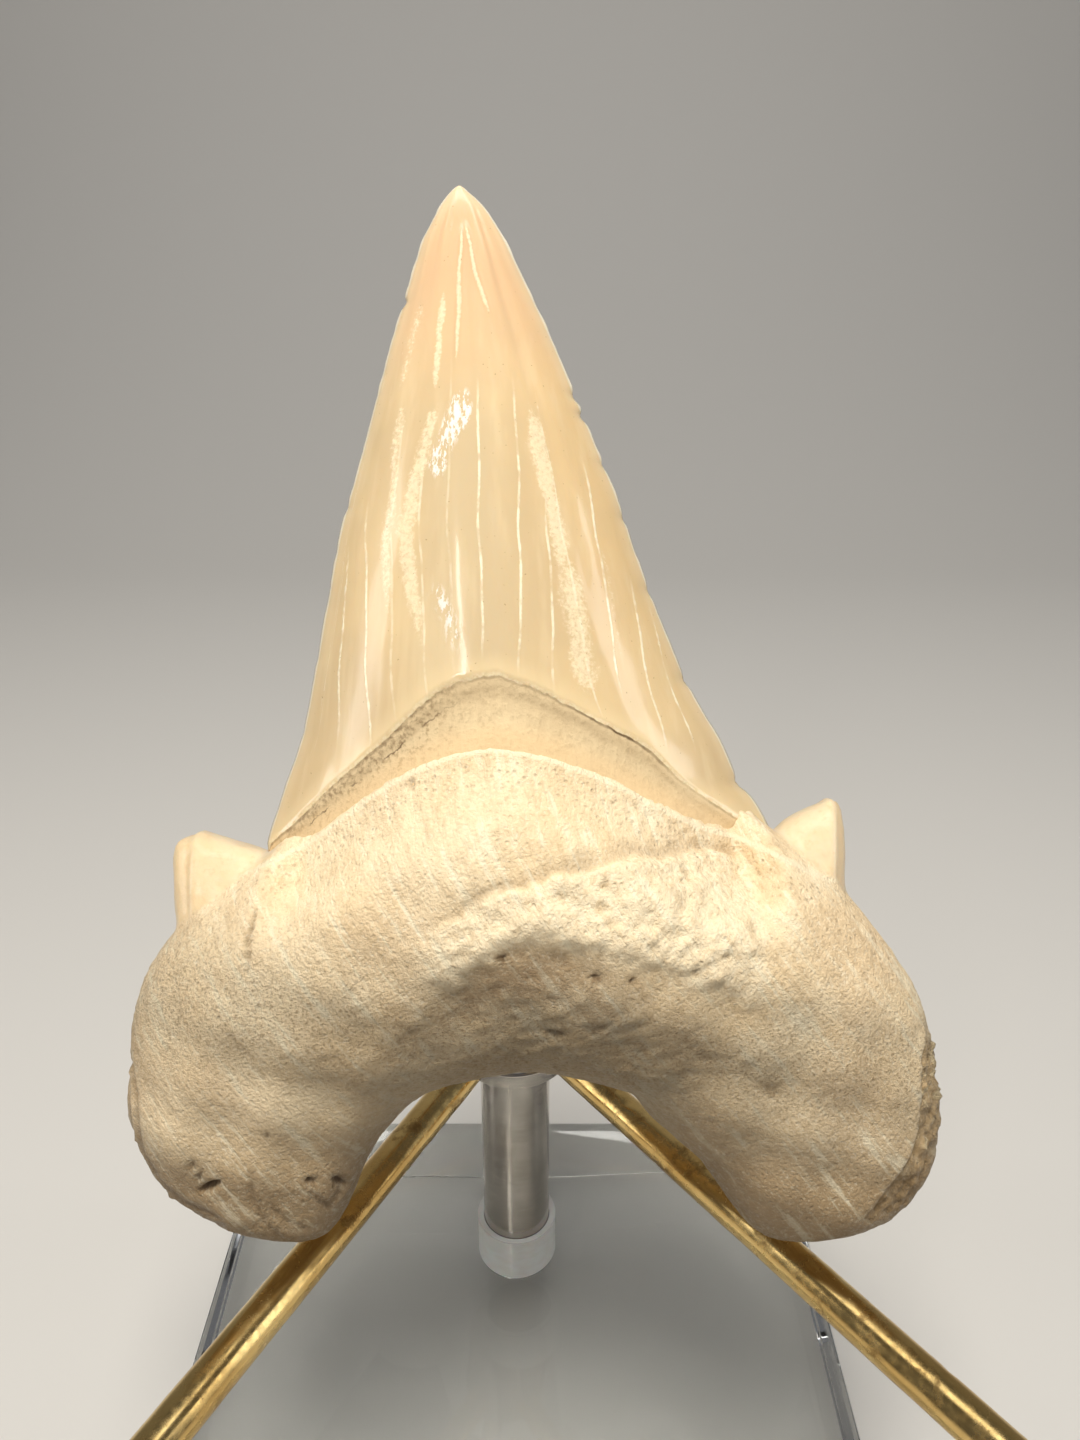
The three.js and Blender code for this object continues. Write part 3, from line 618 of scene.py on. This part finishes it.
    # the fibres run straight down from the rim and then to the right
    drop = 3.0 * np.log1p(np.exp((35.0 - z) / 3.0))
    fan = makePoints(x - 0.75 * drop, y * 0.3, z * 0.14)
    streaks = softNoise(fan, 0.9, 28, 2) * front * smooth(12, 24, z)
    granular = bump(z - 19.5 + 0.1 * x, 5.5) * front
    leftEdge = nearLine(x, z, root["leftEdge"])[0]
    beads = smooth(0.45, 0.1, cellNoise(points, 1.1, 29)) * bump(leftEdge, 0.9)
    poreBand = smooth(0.2, 0.8, belowRim) * smooth(4.2, 1.8, belowRim) * front
    ragBump = bump(x - 17.4, 1.4) * bump(z - 36.6, 1.6) * front
    rough = bump(x - 11, 3.2) * bump(z - 36.5, 2.0) * front
    alongLine = (z < 19) * smooth(4, 6, z) * smooth(0.6, -0.2, x - lineX) * smooth(4.0, 2.0, wornDistance)
    bone = 0.10 * coarse + 0.06 * grain + (0.035 + 0.10 * granular) * sandy + 0.03 * streaks
    bone = bone - 0.08 * pores * smooth(-0.2, 0.5, coarse) + 0.20 * furrow * fibres
    bone = bone + hump * (0.34 + 0.12 * smooth(3.0, 0.5, aboveBrow) + 0.35 * grain - 0.28 * sponge)
    bone = bone - 0.8 * hollow - 0.16 * ledgeShade
    rim = 0.05 * bump(belowRim - 0.2, 0.2) * front + 0.35 * ragBump * (0.6 + grain)
    rim = rim - 0.12 * poreBand * finePores + rough * (0.2 * grain - 0.25 * finePores)
    lobes = 0.20 * beads - 0.25 * bump(leftEdge - 0.5, 0.35) * front
    strip = worn * (-0.42 + 0.30 * crumbs * smooth(6, 10, z) + 0.4 * sandy + 0.25 * grain)
    strip = strip + 0.22 * bump(x - lineX + 0.35, 0.35) * front * alongLine
    move = (1 - cusp) * (bone + rim + lobes + strip)
    move = move + cusp * 0.07 * softNoise(points, 1.4, 30, 3) + 0.22 * cuspRidge - 0.12 * facet
    for pits, onFront in ((root["pits"], True), (root["backPits"], False)):
        for px, pz, wide, long, degrees, depth in pits:
            c, s = math.cos(math.radians(degrees)), math.sin(math.radians(degrees))
            u, v = (x - px) * c + (z - pz) * s, (z - pz) * c - (x - px) * s
            side = (y < -2) if onFront else (y > 1)
            move = move - depth * np.exp(-((u / wide) ** 2 + (v / long) ** 2) ** 1.5) * side
    crease = np.zeros(len(x))
    for line in root["creases"]:
        distance = nearLine(x, z, line)[0]
        lineShift = nearLine(x + 0.35, z, line)[0]
        crease = crease + 0.22 * bump(distance, 0.28) - 0.25 * bump(lineShift, 0.30)
    move = move + crease * front
    # the direction the top light comes from: just in front of straight up, once the tooth leans back
    cosine, sine = math.cos(lean), math.sin(lean)
    upward = np.array([0.0, -0.2 * cosine - 0.98 * sine, 0.98 * cosine - 0.2 * sine])
    # painted shade: darker where the root faces away from the top light, low on the root and mostly at the
    # front
    under = smooth(0.74, 0.05, normals @ upward) * smooth(30, 20, z) * (0.25 + 0.75 * front)
    # painted shade in pits, pores and creases: darker where the surface is pushed in, leaving out the broad
    # hollow and the worn strip
    dip = -1.8 * (move - 0.10 * coarse + 0.5 * hollow + 0.75 * worn)
    keepValues(mesh, toothAt=points / 10, fanAt=fan / 10, hump=hump, hollow=np.clip(hollow, 0, 1),
               worn=worn, crumbs=worn * crumbs * smooth(7, 12, z), cusp=cusp, facet=facet, under=under,
               belowRim=belowRim, frontSide=front, fibres=fibres, furrow=furrow, granular=granular,
               dip=np.clip(dip, 0, 1) * (1 - 0.8 * worn))
    setVertices(mesh, points + normals * move[:, None])
    mesh.transform(toothMatrix)
    return piece


def enamelLook(paint):
    at = paint.read("toothAt", 1)
    height = paint.node("ShaderNodeSeparateXYZ", {}, {0: at}, 2) * 10.0
    edge = paint.read("enamelEdge") + (paint.grain(at, 12.0, 3.0) - 0.5) * 0.30
    enamel = edge.ramp(-0.05, 0.05)
    sideways = paint.read("sideways")
    down = {"Scale": (1.0, 1.0, 0.07)}
    grainy = paint.grain(at, 26.0, 4.0, 0.7)
    slanted = {"Scale": (1.0, 1.0, 0.35), "Rotation": (0, 0.6, 0)}
    frost = paint.read("frost") * paint.grain(at, 30.0, 4.0, 0.7, slanted).ramp(0.46, 0.56)
    streak, fromEdge = paint.read("streak"), paint.read("fromEdge")
    phase = paint.read("crackPhase")
    fromLine = abs(phase - paint.maths("ROUND", phase)) * paint.read("crackGap")
    fromLine = fromLine + (paint.grain(at, 18.0, 3.0) - 0.5) * 0.12
    broken = paint.grain(at, 7.0, 3.0).ramp(0.35, 0.60, 0.15, 1.0)
    line = fromLine.ramp(0.14, 0.04) * paint.read("crackStrength") * broken
    mark = paint.grain(at, 34.0, 2.0, 0.5).ramp(0.735, 0.76) * 0.6
    body = paint.grain(at, 0.9, 3.0, 0.5).ramp(0.35, 0.65).tint((226, 199, 152), (214, 188, 145))
    body = paint.coats(body, (
        (sideways.ramp(0.25, 0.8) * height.ramp(40.0, 58.0) * 0.5, (226, 192, 138)),
        (abs(sideways + 0.10).ramp(0.45, 0.10) * height.ramp(76.0, 62.0) * 0.5, (212, 192, 154)),
        (paint.grain(at, 4.2, 3.0, 0.6, down).ramp(0.48, 0.72) * 0.4, (236, 214, 172)),
        (paint.grain(at, 9.0, 3.0, 0.6, {"Scale": (1.0, 1.0, 0.05)}).ramp(0.55, 0.75) * 0.3, (212, 184, 142)),
        (height.ramp(68.0, 82.0) * 0.8, (226, 188, 146)),
        (height.ramp(86.0, 89.0) * 0.7, (236, 206, 168)),
        # pale streaks, with painted highlights along the ridges and down the left of the tip
        ((streak * grainy.ramp(0.3, 0.7, 0.45, 1.35)).ramp(0.22, 0.75) * 0.62, (250, 234, 198)),
        # frosted places whitened: frosted enamel, partly a painted glint
        (frost.ramp(0.1, 0.5) * 0.9, (252, 246, 236)),
        (fromEdge.ramp(1.6, 0.35) * 0.55, (238, 214, 172)),
        (fromEdge.ramp(0.42, 0.18) * 0.9, (250, 238, 212)),
        (line, (255, 246, 216)),
        (edge.ramp(2.2, 0.4) * 0.6, (238, 214, 168)),
        (edge.ramp(0.42, 0.10) * grainy.ramp(0.35, 0.6) * 0.7, (250, 234, 198)),
        (mark, (150, 116, 74)),
    ))
    # the dentine band: grey below the enamel, partly painted shade beneath the enamel's lip, peach above the
    # root's rim
    fine = paint.grain(at, 22.0, 5.0, 0.65)
    rows = paint.grain(at, 24.0, 3.0, 0.6, {"Scale": (1.0, 1.0, 0.10)})
    aboveRim = paint.read("aboveRim")
    leftPart = sideways.ramp(-0.10, -0.45)
    rightPart = abs(sideways - 0.36).ramp(0.34, 0.20)
    broken = paint.grain(at, 3.0, 3.0).ramp(0.42, 0.60, 0.25, 1.0)
    split = edge + aboveRim * 0.12 + (paint.grain(at, 9.0, 4.0, 0.6) - 0.5) * 1.1
    split = abs(split + 1.0).ramp(0.09, 0.03) * leftPart * paint.grain(at, 4.0, 2.0).ramp(0.48, 0.56)
    crack = edge.ramp(-0.30, -0.12) * broken * (rightPart * 0.65 + 0.35)
    neck = paint.grain(at, 2.2, 4.0).ramp(0.3, 0.7).tint((234, 210, 166), (222, 196, 152))
    neck = paint.coats(neck, (
        (rows.ramp(0.42, 0.66) * 0.6, (238, 214, 168)),
        # this and the next two coats: darker towards the enamel's border, more so on the left: the dentine's
        # grey, partly painted shade beneath the enamel's lip
        (edge.ramp(-4.0, -0.6) * 0.6, (208, 184, 144)),
        (fine.ramp(0.50, 0.66) * (leftPart * 0.5 + 0.25), (158, 132, 94)),
        (leftPart * edge.ramp(-2.0, -0.4) * fine.ramp(0.38, 0.62) * 0.6, (148, 124, 92)),
        (aboveRim.ramp(2.2, 0.6) * 0.6, (232, 198, 148)),
        (split * 0.8, (104, 80, 52)),
        (crack, (104, 82, 54)),
    ))
    hairlines = paint.grain(at, 40.0, 3.0, 0.6, {"Scale": (1.0, 1.0, 0.15)})
    gloss = paint.surface({
        "Base Color": body, "Roughness": grainy.ramp(0.3, 0.8, 0.15, 0.28) + streak * 0.08, "IOR": 1.55,
        "Subsurface Weight": 0.22, "Subsurface Radius": (0.9, 0.55, 0.3), "Subsurface Scale": 0.0025,
        "Coat Weight": 0.6, "Coat Roughness": 0.07,
        "Normal": paint.relief(0.30, 0.0001, line + hairlines * 0.25 + frost * 2.0)})
    dull = paint.surface({"Base Color": neck, "Roughness": 0.58,
                          "Normal": paint.relief(0.5, 0.0002, fine + rows * 0.7)})
    return paint.node("ShaderNodeMixShader", {}, {0: enamel, 1: dull, 2: gloss})


def rootLook(paint):
    at = paint.read("toothAt", 1)
    height = paint.node("ShaderNodeSeparateXYZ", {}, {0: at}, 2) * 10.0
    fine = paint.grain(at, 20.0, 5.0, 0.68)
    specks = paint.node("ShaderNodeTexVoronoi", {}, {"Vector": at, "Scale": 17.0}).ramp(0.34, 0.10)
    belowRim, front = paint.read("belowRim"), paint.read("frontSide")
    hollow, hump, worn = paint.read("hollow"), paint.read("hump"), paint.read("worn")
    fibres, granular = paint.read("fibres"), paint.read("granular")
    fibre = paint.grain(paint.read("fanAt", 1), 11.0, 5.0, 0.65)
    grit = paint.grain(at, 40.0, 4.0, 0.7)
    sand = paint.grain(at, 1.3, 4.0, 0.55).ramp(0.35, 0.65).tint((251, 229, 189), (241, 214, 170))
    sand = paint.coats(sand, (
        (paint.grain(at, 0.7, 2.0).ramp(0.45, 0.65) * 0.4, (232, 204, 164)),
        # painted shade: darker towards the bottom of the lobes, where they turn away from the light
        (height.ramp(14.5, 6.0) * 0.8, (172, 145, 106)),
        ((1 - front) * 0.5, (196, 168, 126)),
        (fibres * 0.2, (190, 162, 118)),
        # darker in the hollow under the hump: partly brown staining, partly painted shade
        (hollow * fine.ramp(0.2, 0.6, 0.6, 1.0) * 0.5, (156, 126, 88)),
        (hump.ramp(0.1, 0.7) * fine.ramp(0.65, 0.40, 0.35, 1.0) * 0.8, (252, 234, 198)),
        (fibre.ramp(0.50, 0.70) * 0.32, (196, 166, 124)),
        (fibre.ramp(0.48, 0.34) * 0.65, (255, 244, 212)),
        (fine.ramp(0.50, 0.68) * 0.28, (190, 160, 116)),
        (fine.ramp(0.44, 0.30) * 0.4, (254, 242, 214)),
        (paint.grain(at, 38.0, 3.0, 0.6).ramp(0.56, 0.70) * 0.5, (252, 240, 212)),
        (paint.read("furrow").ramp(0.1, 0.6) * fibres * 0.5, (206, 180, 136)),
        # painted shade in the pits, pores and creases
        (paint.read("dip") * 0.85, (110, 82, 52)),
        (worn * 0.6, (204, 170, 118)),
        (paint.read("crumbs").ramp(0.2, 0.6), (246, 224, 178)),
        (grit.ramp(0.52, 0.64) * granular * 0.5, (140, 112, 78)),
        # pale specks, most in the granular band: pale grains, partly painted glints
        (grit.ramp(0.42, 0.30) * (granular * 0.4 + 0.25), (253, 240, 212)),
        (specks * belowRim.ramp(3.6, 1.6) * belowRim.ramp(0.3, 0.7) * front * 0.35, (146, 118, 82)),
        (abs(belowRim - 0.05).ramp(0.32, 0.12) * front * 0.7, (250, 234, 200)),
        # painted shade on the faces turned away from the top light
        (paint.read("under") * 0.56, (92, 72, 48)),
    ))
    cusp = paint.read("cusp")
    cuspColour = paint.grain(at, 2.0, 4.0).ramp(0.3, 0.7).tint((236, 216, 180), (226, 200, 156))
    cuspColour = paint.coats(cuspColour, (
        (paint.grain(at, 16.0, 4.0, 0.6).ramp(0.55, 0.75) * 0.4, (222, 186, 138)),
        # the outer facet of each cusp a little darker: painted shade on that side
        (paint.read("facet") * 0.7, (230, 202, 156)),
    ))
    grains = fine * 0.7 + paint.grain(at, 42.0, 3.0) * 0.5 - specks * 0.2
    grains = (grains + fibre * 0.9 + paint.grain(at, 6.0, 4.0) * 0.6) * 0.85 + grit * granular * 1.3
    dull = paint.surface({"Base Color": sand, "Roughness": fine.ramp(0.3, 0.7, 0.36, 0.70),
                          "Normal": paint.relief(0.85, 0.0004, grains)})
    slick = paint.surface({
        "Base Color": cuspColour, "Roughness": 0.30, "Coat Weight": 0.3, "Coat Roughness": 0.1,
        "Subsurface Weight": 0.2, "Subsurface Radius": (0.9, 0.55, 0.3), "Subsurface Scale": 0.002,
        "Normal": paint.relief(0.4, 0.0003, paint.grain(at, 9.0, 4.0))})
    return paint.node("ShaderNodeMixShader", {}, {0: cusp, 1: dull, 2: slick})


finishPiece(makeCrown(), newMaterial("aged_enamel", enamelLook), "fossil", "tooth", smoothAngle=0)
finishPiece(makeRoot(), newMaterial("fossil_root", rootLook), "fossil", "tooth", smoothAngle=0)


block = dict(side=70.0, height=19.0, corner=1.2, chamfer=0.5, bottomEdge=0.12, holeRadius=4.75,
             sleeveDepth=10.0)
post = dict(x=-0.4, y=20.4, radius=4.0, foot=9.6, top=47.5, sleeveWall=0.5, gap=0.3)
hub = dict(radius=6.5, bottom=44.5, top=56.5, edge=1.0, boreGap=0.25, boreDepth=3.3, groove=0.25,
           socketGap=0.25, socketStart=-0.3, socketEnd=6.4)
arms = dict(radius=1.75, reach=67.0, height=50.0, socket=3.2, sides=56, endRound=0.5,
            angles={"left_arm": -27.85, "right_arm": 37.4},
            back=[[-0.4, 21.6, 53.3], [-0.4, 22.2, 62.5], [-0.4, 22.6, 74.0], [-0.1, 20.1, 83.0],
                  [0.2, 16.3, 90.0], [0.4, 13.2, 93.4]])


def makeTurned(name, profile, sides=128):  # a profile of [radius, height] turned about the post's axis
    angle = np.linspace(0, 2 * np.pi, sides, endpoint=False)
    radius, height = np.array(profile).T[:, :, None]
    rings = makePoints(post["x"] + radius * np.cos(angle), post["y"] + radius * np.sin(angle), height)
    if np.allclose(profile[0], profile[-1]):  # a closed profile, whose last row is its first
        points, faces = skinRings(rings)
        count = len(points) - sides
        points, faces = points[:count], [[index % count for index in face] for face in faces]
    else:
        points, faces = skinRings(rings, rings[0].mean(0), rings[-1].mean(0))
    return newPiece(name, points * mm, faces)


def roundedProfile(profile, radius, steps=5):  # rounds the inner corners of an open profile
    made = [profile[0]]
    for before, corner, after in zip(profile, profile[1:], profile[2:]):
        corner, before, after = np.array(corner), np.array(before), np.array(after)
        r = min(radius, np.linalg.norm(before - corner) / 2.2, np.linalg.norm(after - corner) / 2.2)
        a = corner + (before - corner) / np.linalg.norm(before - corner) * r
        b = corner + (after - corner) / np.linalg.norm(after - corner) * r
        for k in range(steps + 1):
            t = k / steps
            made.append(((1 - t) ** 2 * a + 2 * t * (1 - t) * corner + t * t * b).tolist())
    return made + [profile[-1]]


def makeBlock():
    half, corner, chamfer, height = block["side"] / 2, block["corner"], block["chamfer"], block["height"]
    rings = []
    for level, inset in ((0, block["bottomEdge"]), (block["bottomEdge"], 0), (height - chamfer, 0),
                         (height - chamfer * 0.3, chamfer * 0.3), (height, chamfer)):
        ring = []
        for quarter in range(4):
            for k in range(9):
                angle = math.pi / 2 * (quarter + k / 8)
                reach = half - corner
                centre = (reach * (1 if quarter in (0, 3) else -1), reach * (1 if quarter in (0, 1) else -1))
                r = corner + 1e-3 - inset
                ring.append((centre[0] + r * math.cos(angle), centre[1] + r * math.sin(angle), level))
        rings.append(ring)
    rings = np.array(rings)
    rings[..., :2] = np.clip(rings[..., :2], -half, half)
    size = rings.shape[1]
    points, faces = skinRings(rings)
    faces += [list(range(size))[::-1], list(range(len(points) - size, len(points)))]
    piece = newPiece("clear_block", points * mm, faces)
    floor, above, wide = height - block["sleeveDepth"] - 0.3, height + 2, block["holeRadius"]
    cutAway(piece, makeTurned("drill", [[0.01, floor], [wide, floor], [wide, above], [0.01, above]]))
    return piece


def makeSleeve():
    inner, outer = post["radius"] + 0.05, post["radius"] + post["gap"] + post["sleeveWall"]
    top, foot = block["height"] - 0.05, block["height"] - block["sleeveDepth"]
    profile = [[inner, foot], [outer, foot], [outer, top], [inner, top], [inner, foot]]
    return makeTurned("milky_sleeve", profile)


def makePost():
    r, foot, top = post["radius"], post["foot"], post["top"]
    profile = [[0.01, foot], [r, foot], [r, top], [0.01, top]]
    return makeTurned("steel_post", roundedProfile(profile, 0.4))


def rodRings(path, radius, sides):  # rings square to a line of points
    path = np.array(path, float)
    ways = np.gradient(path, axis=0)
    ways /= np.linalg.norm(ways, axis=1)[:, None]
    side = np.cross(ways, np.array([0.13, 0.21, 1.0]) if abs(ways[0][2]) < 0.9 else np.array([1.0, 0.1, 0.0]))
    side /= np.linalg.norm(side, axis=1)[:, None]
    up = np.cross(side, ways)
    turn = np.linspace(0, 2 * np.pi, sides, endpoint=False)
    radius = np.broadcast_to(radius, (len(path),))
    return path[:, None] + radius[:, None, None] * (np.cos(turn)[None, :, None] * side[:, None]
                                                    + np.sin(turn)[None, :, None] * up[:, None])


def levelPath(angle, steps):
    a = math.radians(angle)
    reach = np.linspace(hub["radius"] - arms["socket"], arms["reach"], steps)
    x, y = post["x"] + math.sin(a) * reach, post["y"] - math.cos(a) * reach
    return makePoints(x, y, arms["height"])


def smoothPath(corners, steps):
    return makePoints(*readTable(corners, np.linspace(0, len(corners) - 1, steps)))


def makeArm(name, path):
    length = np.concatenate([[0], np.cumsum(np.linalg.norm(np.diff(path, axis=0), axis=1))])
    fromEnd = length[-1] - length
    rounded = np.sqrt(np.clip(1 - (1 - fromEnd / arms["endRound"]) ** 2 * 0.45, 0, 1))
    radius = arms["radius"] * np.where(fromEnd < arms["endRound"], rounded, 1)
    rings = rodRings(path, radius, arms["sides"])
    points, faces = skinRings(rings, path[0], path[-1])
    piece = newPiece(name, points, faces)
    mesh = piece.data
    normals = vertexArray(mesh, "normal")
    seed = 51 + sum(map(ord, name))
    nicks = smooth(0.22, 0.05, cellNoise(points, 4.2, seed + 9))
    dents = 0.03 * softNoise(points, 2.6, seed, 2) - 0.10 * nicks
    setVertices(mesh, points + normals * (dents - 0.02)[:, None])
    way = np.repeat(length, arms["sides"])
    keepValues(mesh, along=np.concatenate([way, [0, length[-1]]]) / 10)
    mesh.transform(Matrix.Scale(mm, 4))
    return piece


def makeHub():
    r, low, high, edge, groove = hub["radius"], hub["bottom"], hub["top"], hub["edge"], hub["groove"]
    bore, roof = post["radius"] + hub["boreGap"], low + hub["boreDepth"]
    profile = [[0.01, roof], [bore, roof], [bore, low], [r - edge * 0.5, low], [r, low + edge * 0.5],
               [r, low + 2.2], [r - groove, low + 2.45], [r - groove, low + 2.75], [r, low + 3.0],
               [r, high - 3.4], [r - groove, high - 3.15], [r - groove, high - 2.85], [r, high - 2.6],
               [r, high - 1.8], [r - 0.6, high - 0.6], [r - 2.0, high], [0.01, high]]
    piece = makeTurned("steel_hub", roundedProfile(profile, 0.22, 3))
    paths = [levelPath(angle, 2) for angle in arms["angles"].values()] + [np.array(arms["back"][:2])]
    for start, onward in paths:  # a socket for each arm
        way = (onward - start) / np.linalg.norm(onward - start)
        ends = start + np.outer([hub["socketStart"], hub["socketEnd"]], way)
        rings = rodRings(ends, arms["radius"] + hub["socketGap"], 64)
        points, faces = skinRings(rings, ends[0], ends[1])
        cutter = newPiece("cutter", points * mm, faces)
        cutAway(piece, cutter)
    return piece


def clearLook(paint):
    at = paint.place()
    scratch = paint.grain(at, 900.0, 3.0, 0.6, {"Scale": (1.0, 0.06, 1.0), "Rotation": (0, 0, 0.6)})
    haze = paint.grain(at, 60.0, 4.0, 0.6)
    return paint.surface({
        "Base Color": (0.97, 0.985, 0.98, 1), "Roughness": haze.ramp(0.45, 0.75, 0.0, 0.06), "IOR": 1.49,
        "Transmission Weight": 1.0, "Normal": paint.relief(0.05, 0.00005, scratch)})


def milkyLook(paint):
    at = paint.place()
    cloud = paint.grain(at, 700.0, 3.0)
    colour = cloud.ramp(0.3, 0.7).tint((255, 255, 252), (250, 248, 242))
    return paint.surface({"Base Color": colour, "Roughness": 0.45, "Subsurface Weight": 0.3,
                          "Subsurface Scale": 0.001})


def steelLook(paint):
    at = paint.place()
    lines = paint.grain(at, 260.0, 4.0, 0.6, {"Scale": (1.0, 1.0, 16.0)})
    cloud = paint.grain(at, 90.0, 3.0)
    colour = cloud.ramp(0.35, 0.7).tint((196, 189, 180), (176, 168, 158))
    return paint.surface({
        "Base Color": colour, "Metallic": 1.0, "Roughness": lines.ramp(0.3, 0.7, 0.14, 0.24),
        "Normal": paint.relief(0.08, 0.00002, lines)})


def brassLook(paint):
    at = paint.place()
    cloud = paint.grain(at, 120.0, 5.0, 0.6)
    fine = paint.grain(at, 1500.0, 3.0, 0.6)
    tarnish = paint.grain(at, 380.0, 5.0, 0.7).ramp(0.55, 0.72)
    colour = cloud.ramp(0.35, 0.65).tint((222, 192, 128), (206, 170, 104))
    colour = (tarnish * 0.7).tint(colour, (118, 84, 44))
    return paint.surface({
        "Base Color": colour, "Metallic": 1.0, "Roughness": tarnish * 0.22 + fine.ramp(0.3, 0.7, 0.16, 0.28),
        "Normal": paint.relief(0.25, 0.00005, cloud * 0.35 + fine * 0.10)})


finishPiece(makeBlock(), newMaterial("clear_acrylic", clearLook), "clear_block", "base_block", smoothAngle=30)
finishPiece(makeSleeve(), newMaterial("milky_wall", milkyLook), "milky_sleeve", "post_sleeve")
steel = newMaterial("polished_steel", steelLook)
finishPiece(makePost(), steel, "polished_steel", "post")
finishPiece(makeHub(), steel, "polished_steel", "hub", smoothAngle=30)
brass = newMaterial("worn_brass", brassLook)
for armName, armAngle in arms["angles"].items():
    finishPiece(makeArm("brass_" + armName, levelPath(armAngle, 150)), brass, "brass_rod", armName)
finishPiece(makeArm("brass_back_arm", smoothPath(arms["back"], 120)), brass, "brass_rod", "back_arm")


studio = dict(
    floor=(214, 211, 205), world=(0.12, 0.12, 0.125), below=0.1,  # the floor lies this far below, in mm
    half=1.6, near=-1.2, curveStart=0.35, curve=0.35, wall=1.4,
    # name, place, aim, size, power, colour, and whether it shows as a reflection
    lights=[
        ["top_light", (-0.01, -0.11, 0.45), (0, 0, 0.10), (0.18, 0.12), 1.68, (1.0, 0.965, 0.91), False],
        ["strip_light", (-0.13, -0.30, 0.36), (0, 0, 0.10), (0.04, 0.20), 0.22, (1.0, 0.97, 0.93), True],
        ["left_light", (-0.50, -0.05, 0.20), (0, 0, 0.07), (0.10, 0.45), 0.4, (1.0, 0.98, 0.95), True],
        ["right_light", (0.50, -0.02, 0.20), (0, 0, 0.07), (0.10, 0.45), 0.35, (0.97, 0.98, 1.0), True],
        ["back_light", (0, 0.10, 0.95), (0, 0.72, 0), (0.8, 0.3), 1.6, (1, 1, 1), True],
    ],
    camera=(0.0025, -0.076, 0.1307), sensor=36, lens=27.05,
)


def floorLook(paint):
    return paint.surface({"Base Color": linear(*studio["floor"]), "Roughness": 0.6})


def makeFloor():
    start, curve = studio["curveStart"], studio["curve"]
    steps = [(studio["near"], 0.0), (start, 0.0)]
    bend = np.linspace(0.05, math.pi / 2, 24)
    steps += [(start + curve * math.sin(a), curve - curve * math.cos(a)) for a in bend]
    steps += [(start + curve, studio["wall"])]
    points = [(x, y, z - studio["below"] * mm) for y, z in steps for x in (-studio["half"], studio["half"])]
    faces = [[2 * k, 2 * k + 1, 2 * k + 3, 2 * k + 2] for k in range(len(steps) - 1)]
    floor = newPiece("studio_floor", points, faces, closed=False)
    floor.data.polygons.foreach_set("use_smooth", [True] * len(faces))
    floor.data.materials.append(newMaterial("pale_floor", floorLook))


def softLight(name, place, aim, size, power, colour, glints):
    data = bpy.data.lights.new(name, "AREA")
    data.shape, data.size, data.size_y = "RECTANGLE", size[0], size[1]
    data.energy, data.color = power, colour
    light = bpy.data.objects.new(name, data)
    light.location = place
    light.visible_glossy = glints
    light.rotation_euler = (Vector(aim) - Vector(place)).to_track_quat("-Z", "Y").to_euler()
    bpy.context.scene.collection.objects.link(light)


makeFloor()
for light in studio["lights"]:
    softLight(*light)

world = bpy.data.worlds.new("studio")
world.use_nodes = True
world.node_tree.nodes["Background"].inputs[0].default_value = (*studio["world"], 1)
bpy.context.scene.world = world
bpy.context.scene.view_settings.view_transform = "Standard"

cameraData = bpy.data.cameras.new("camera")
cameraData.sensor_fit = "AUTO"
cameraData.sensor_width, cameraData.lens = studio["sensor"], studio["lens"]
cameraData.clip_start = 0.005
camera = bpy.data.objects.new("camera", cameraData)
camera.location = studio["camera"]
camera.rotation_euler = (math.radians(90) - lean, 0, 0)
bpy.context.scene.collection.objects.link(camera)
bpy.context.scene.camera = camera
print("lights and camera placed")
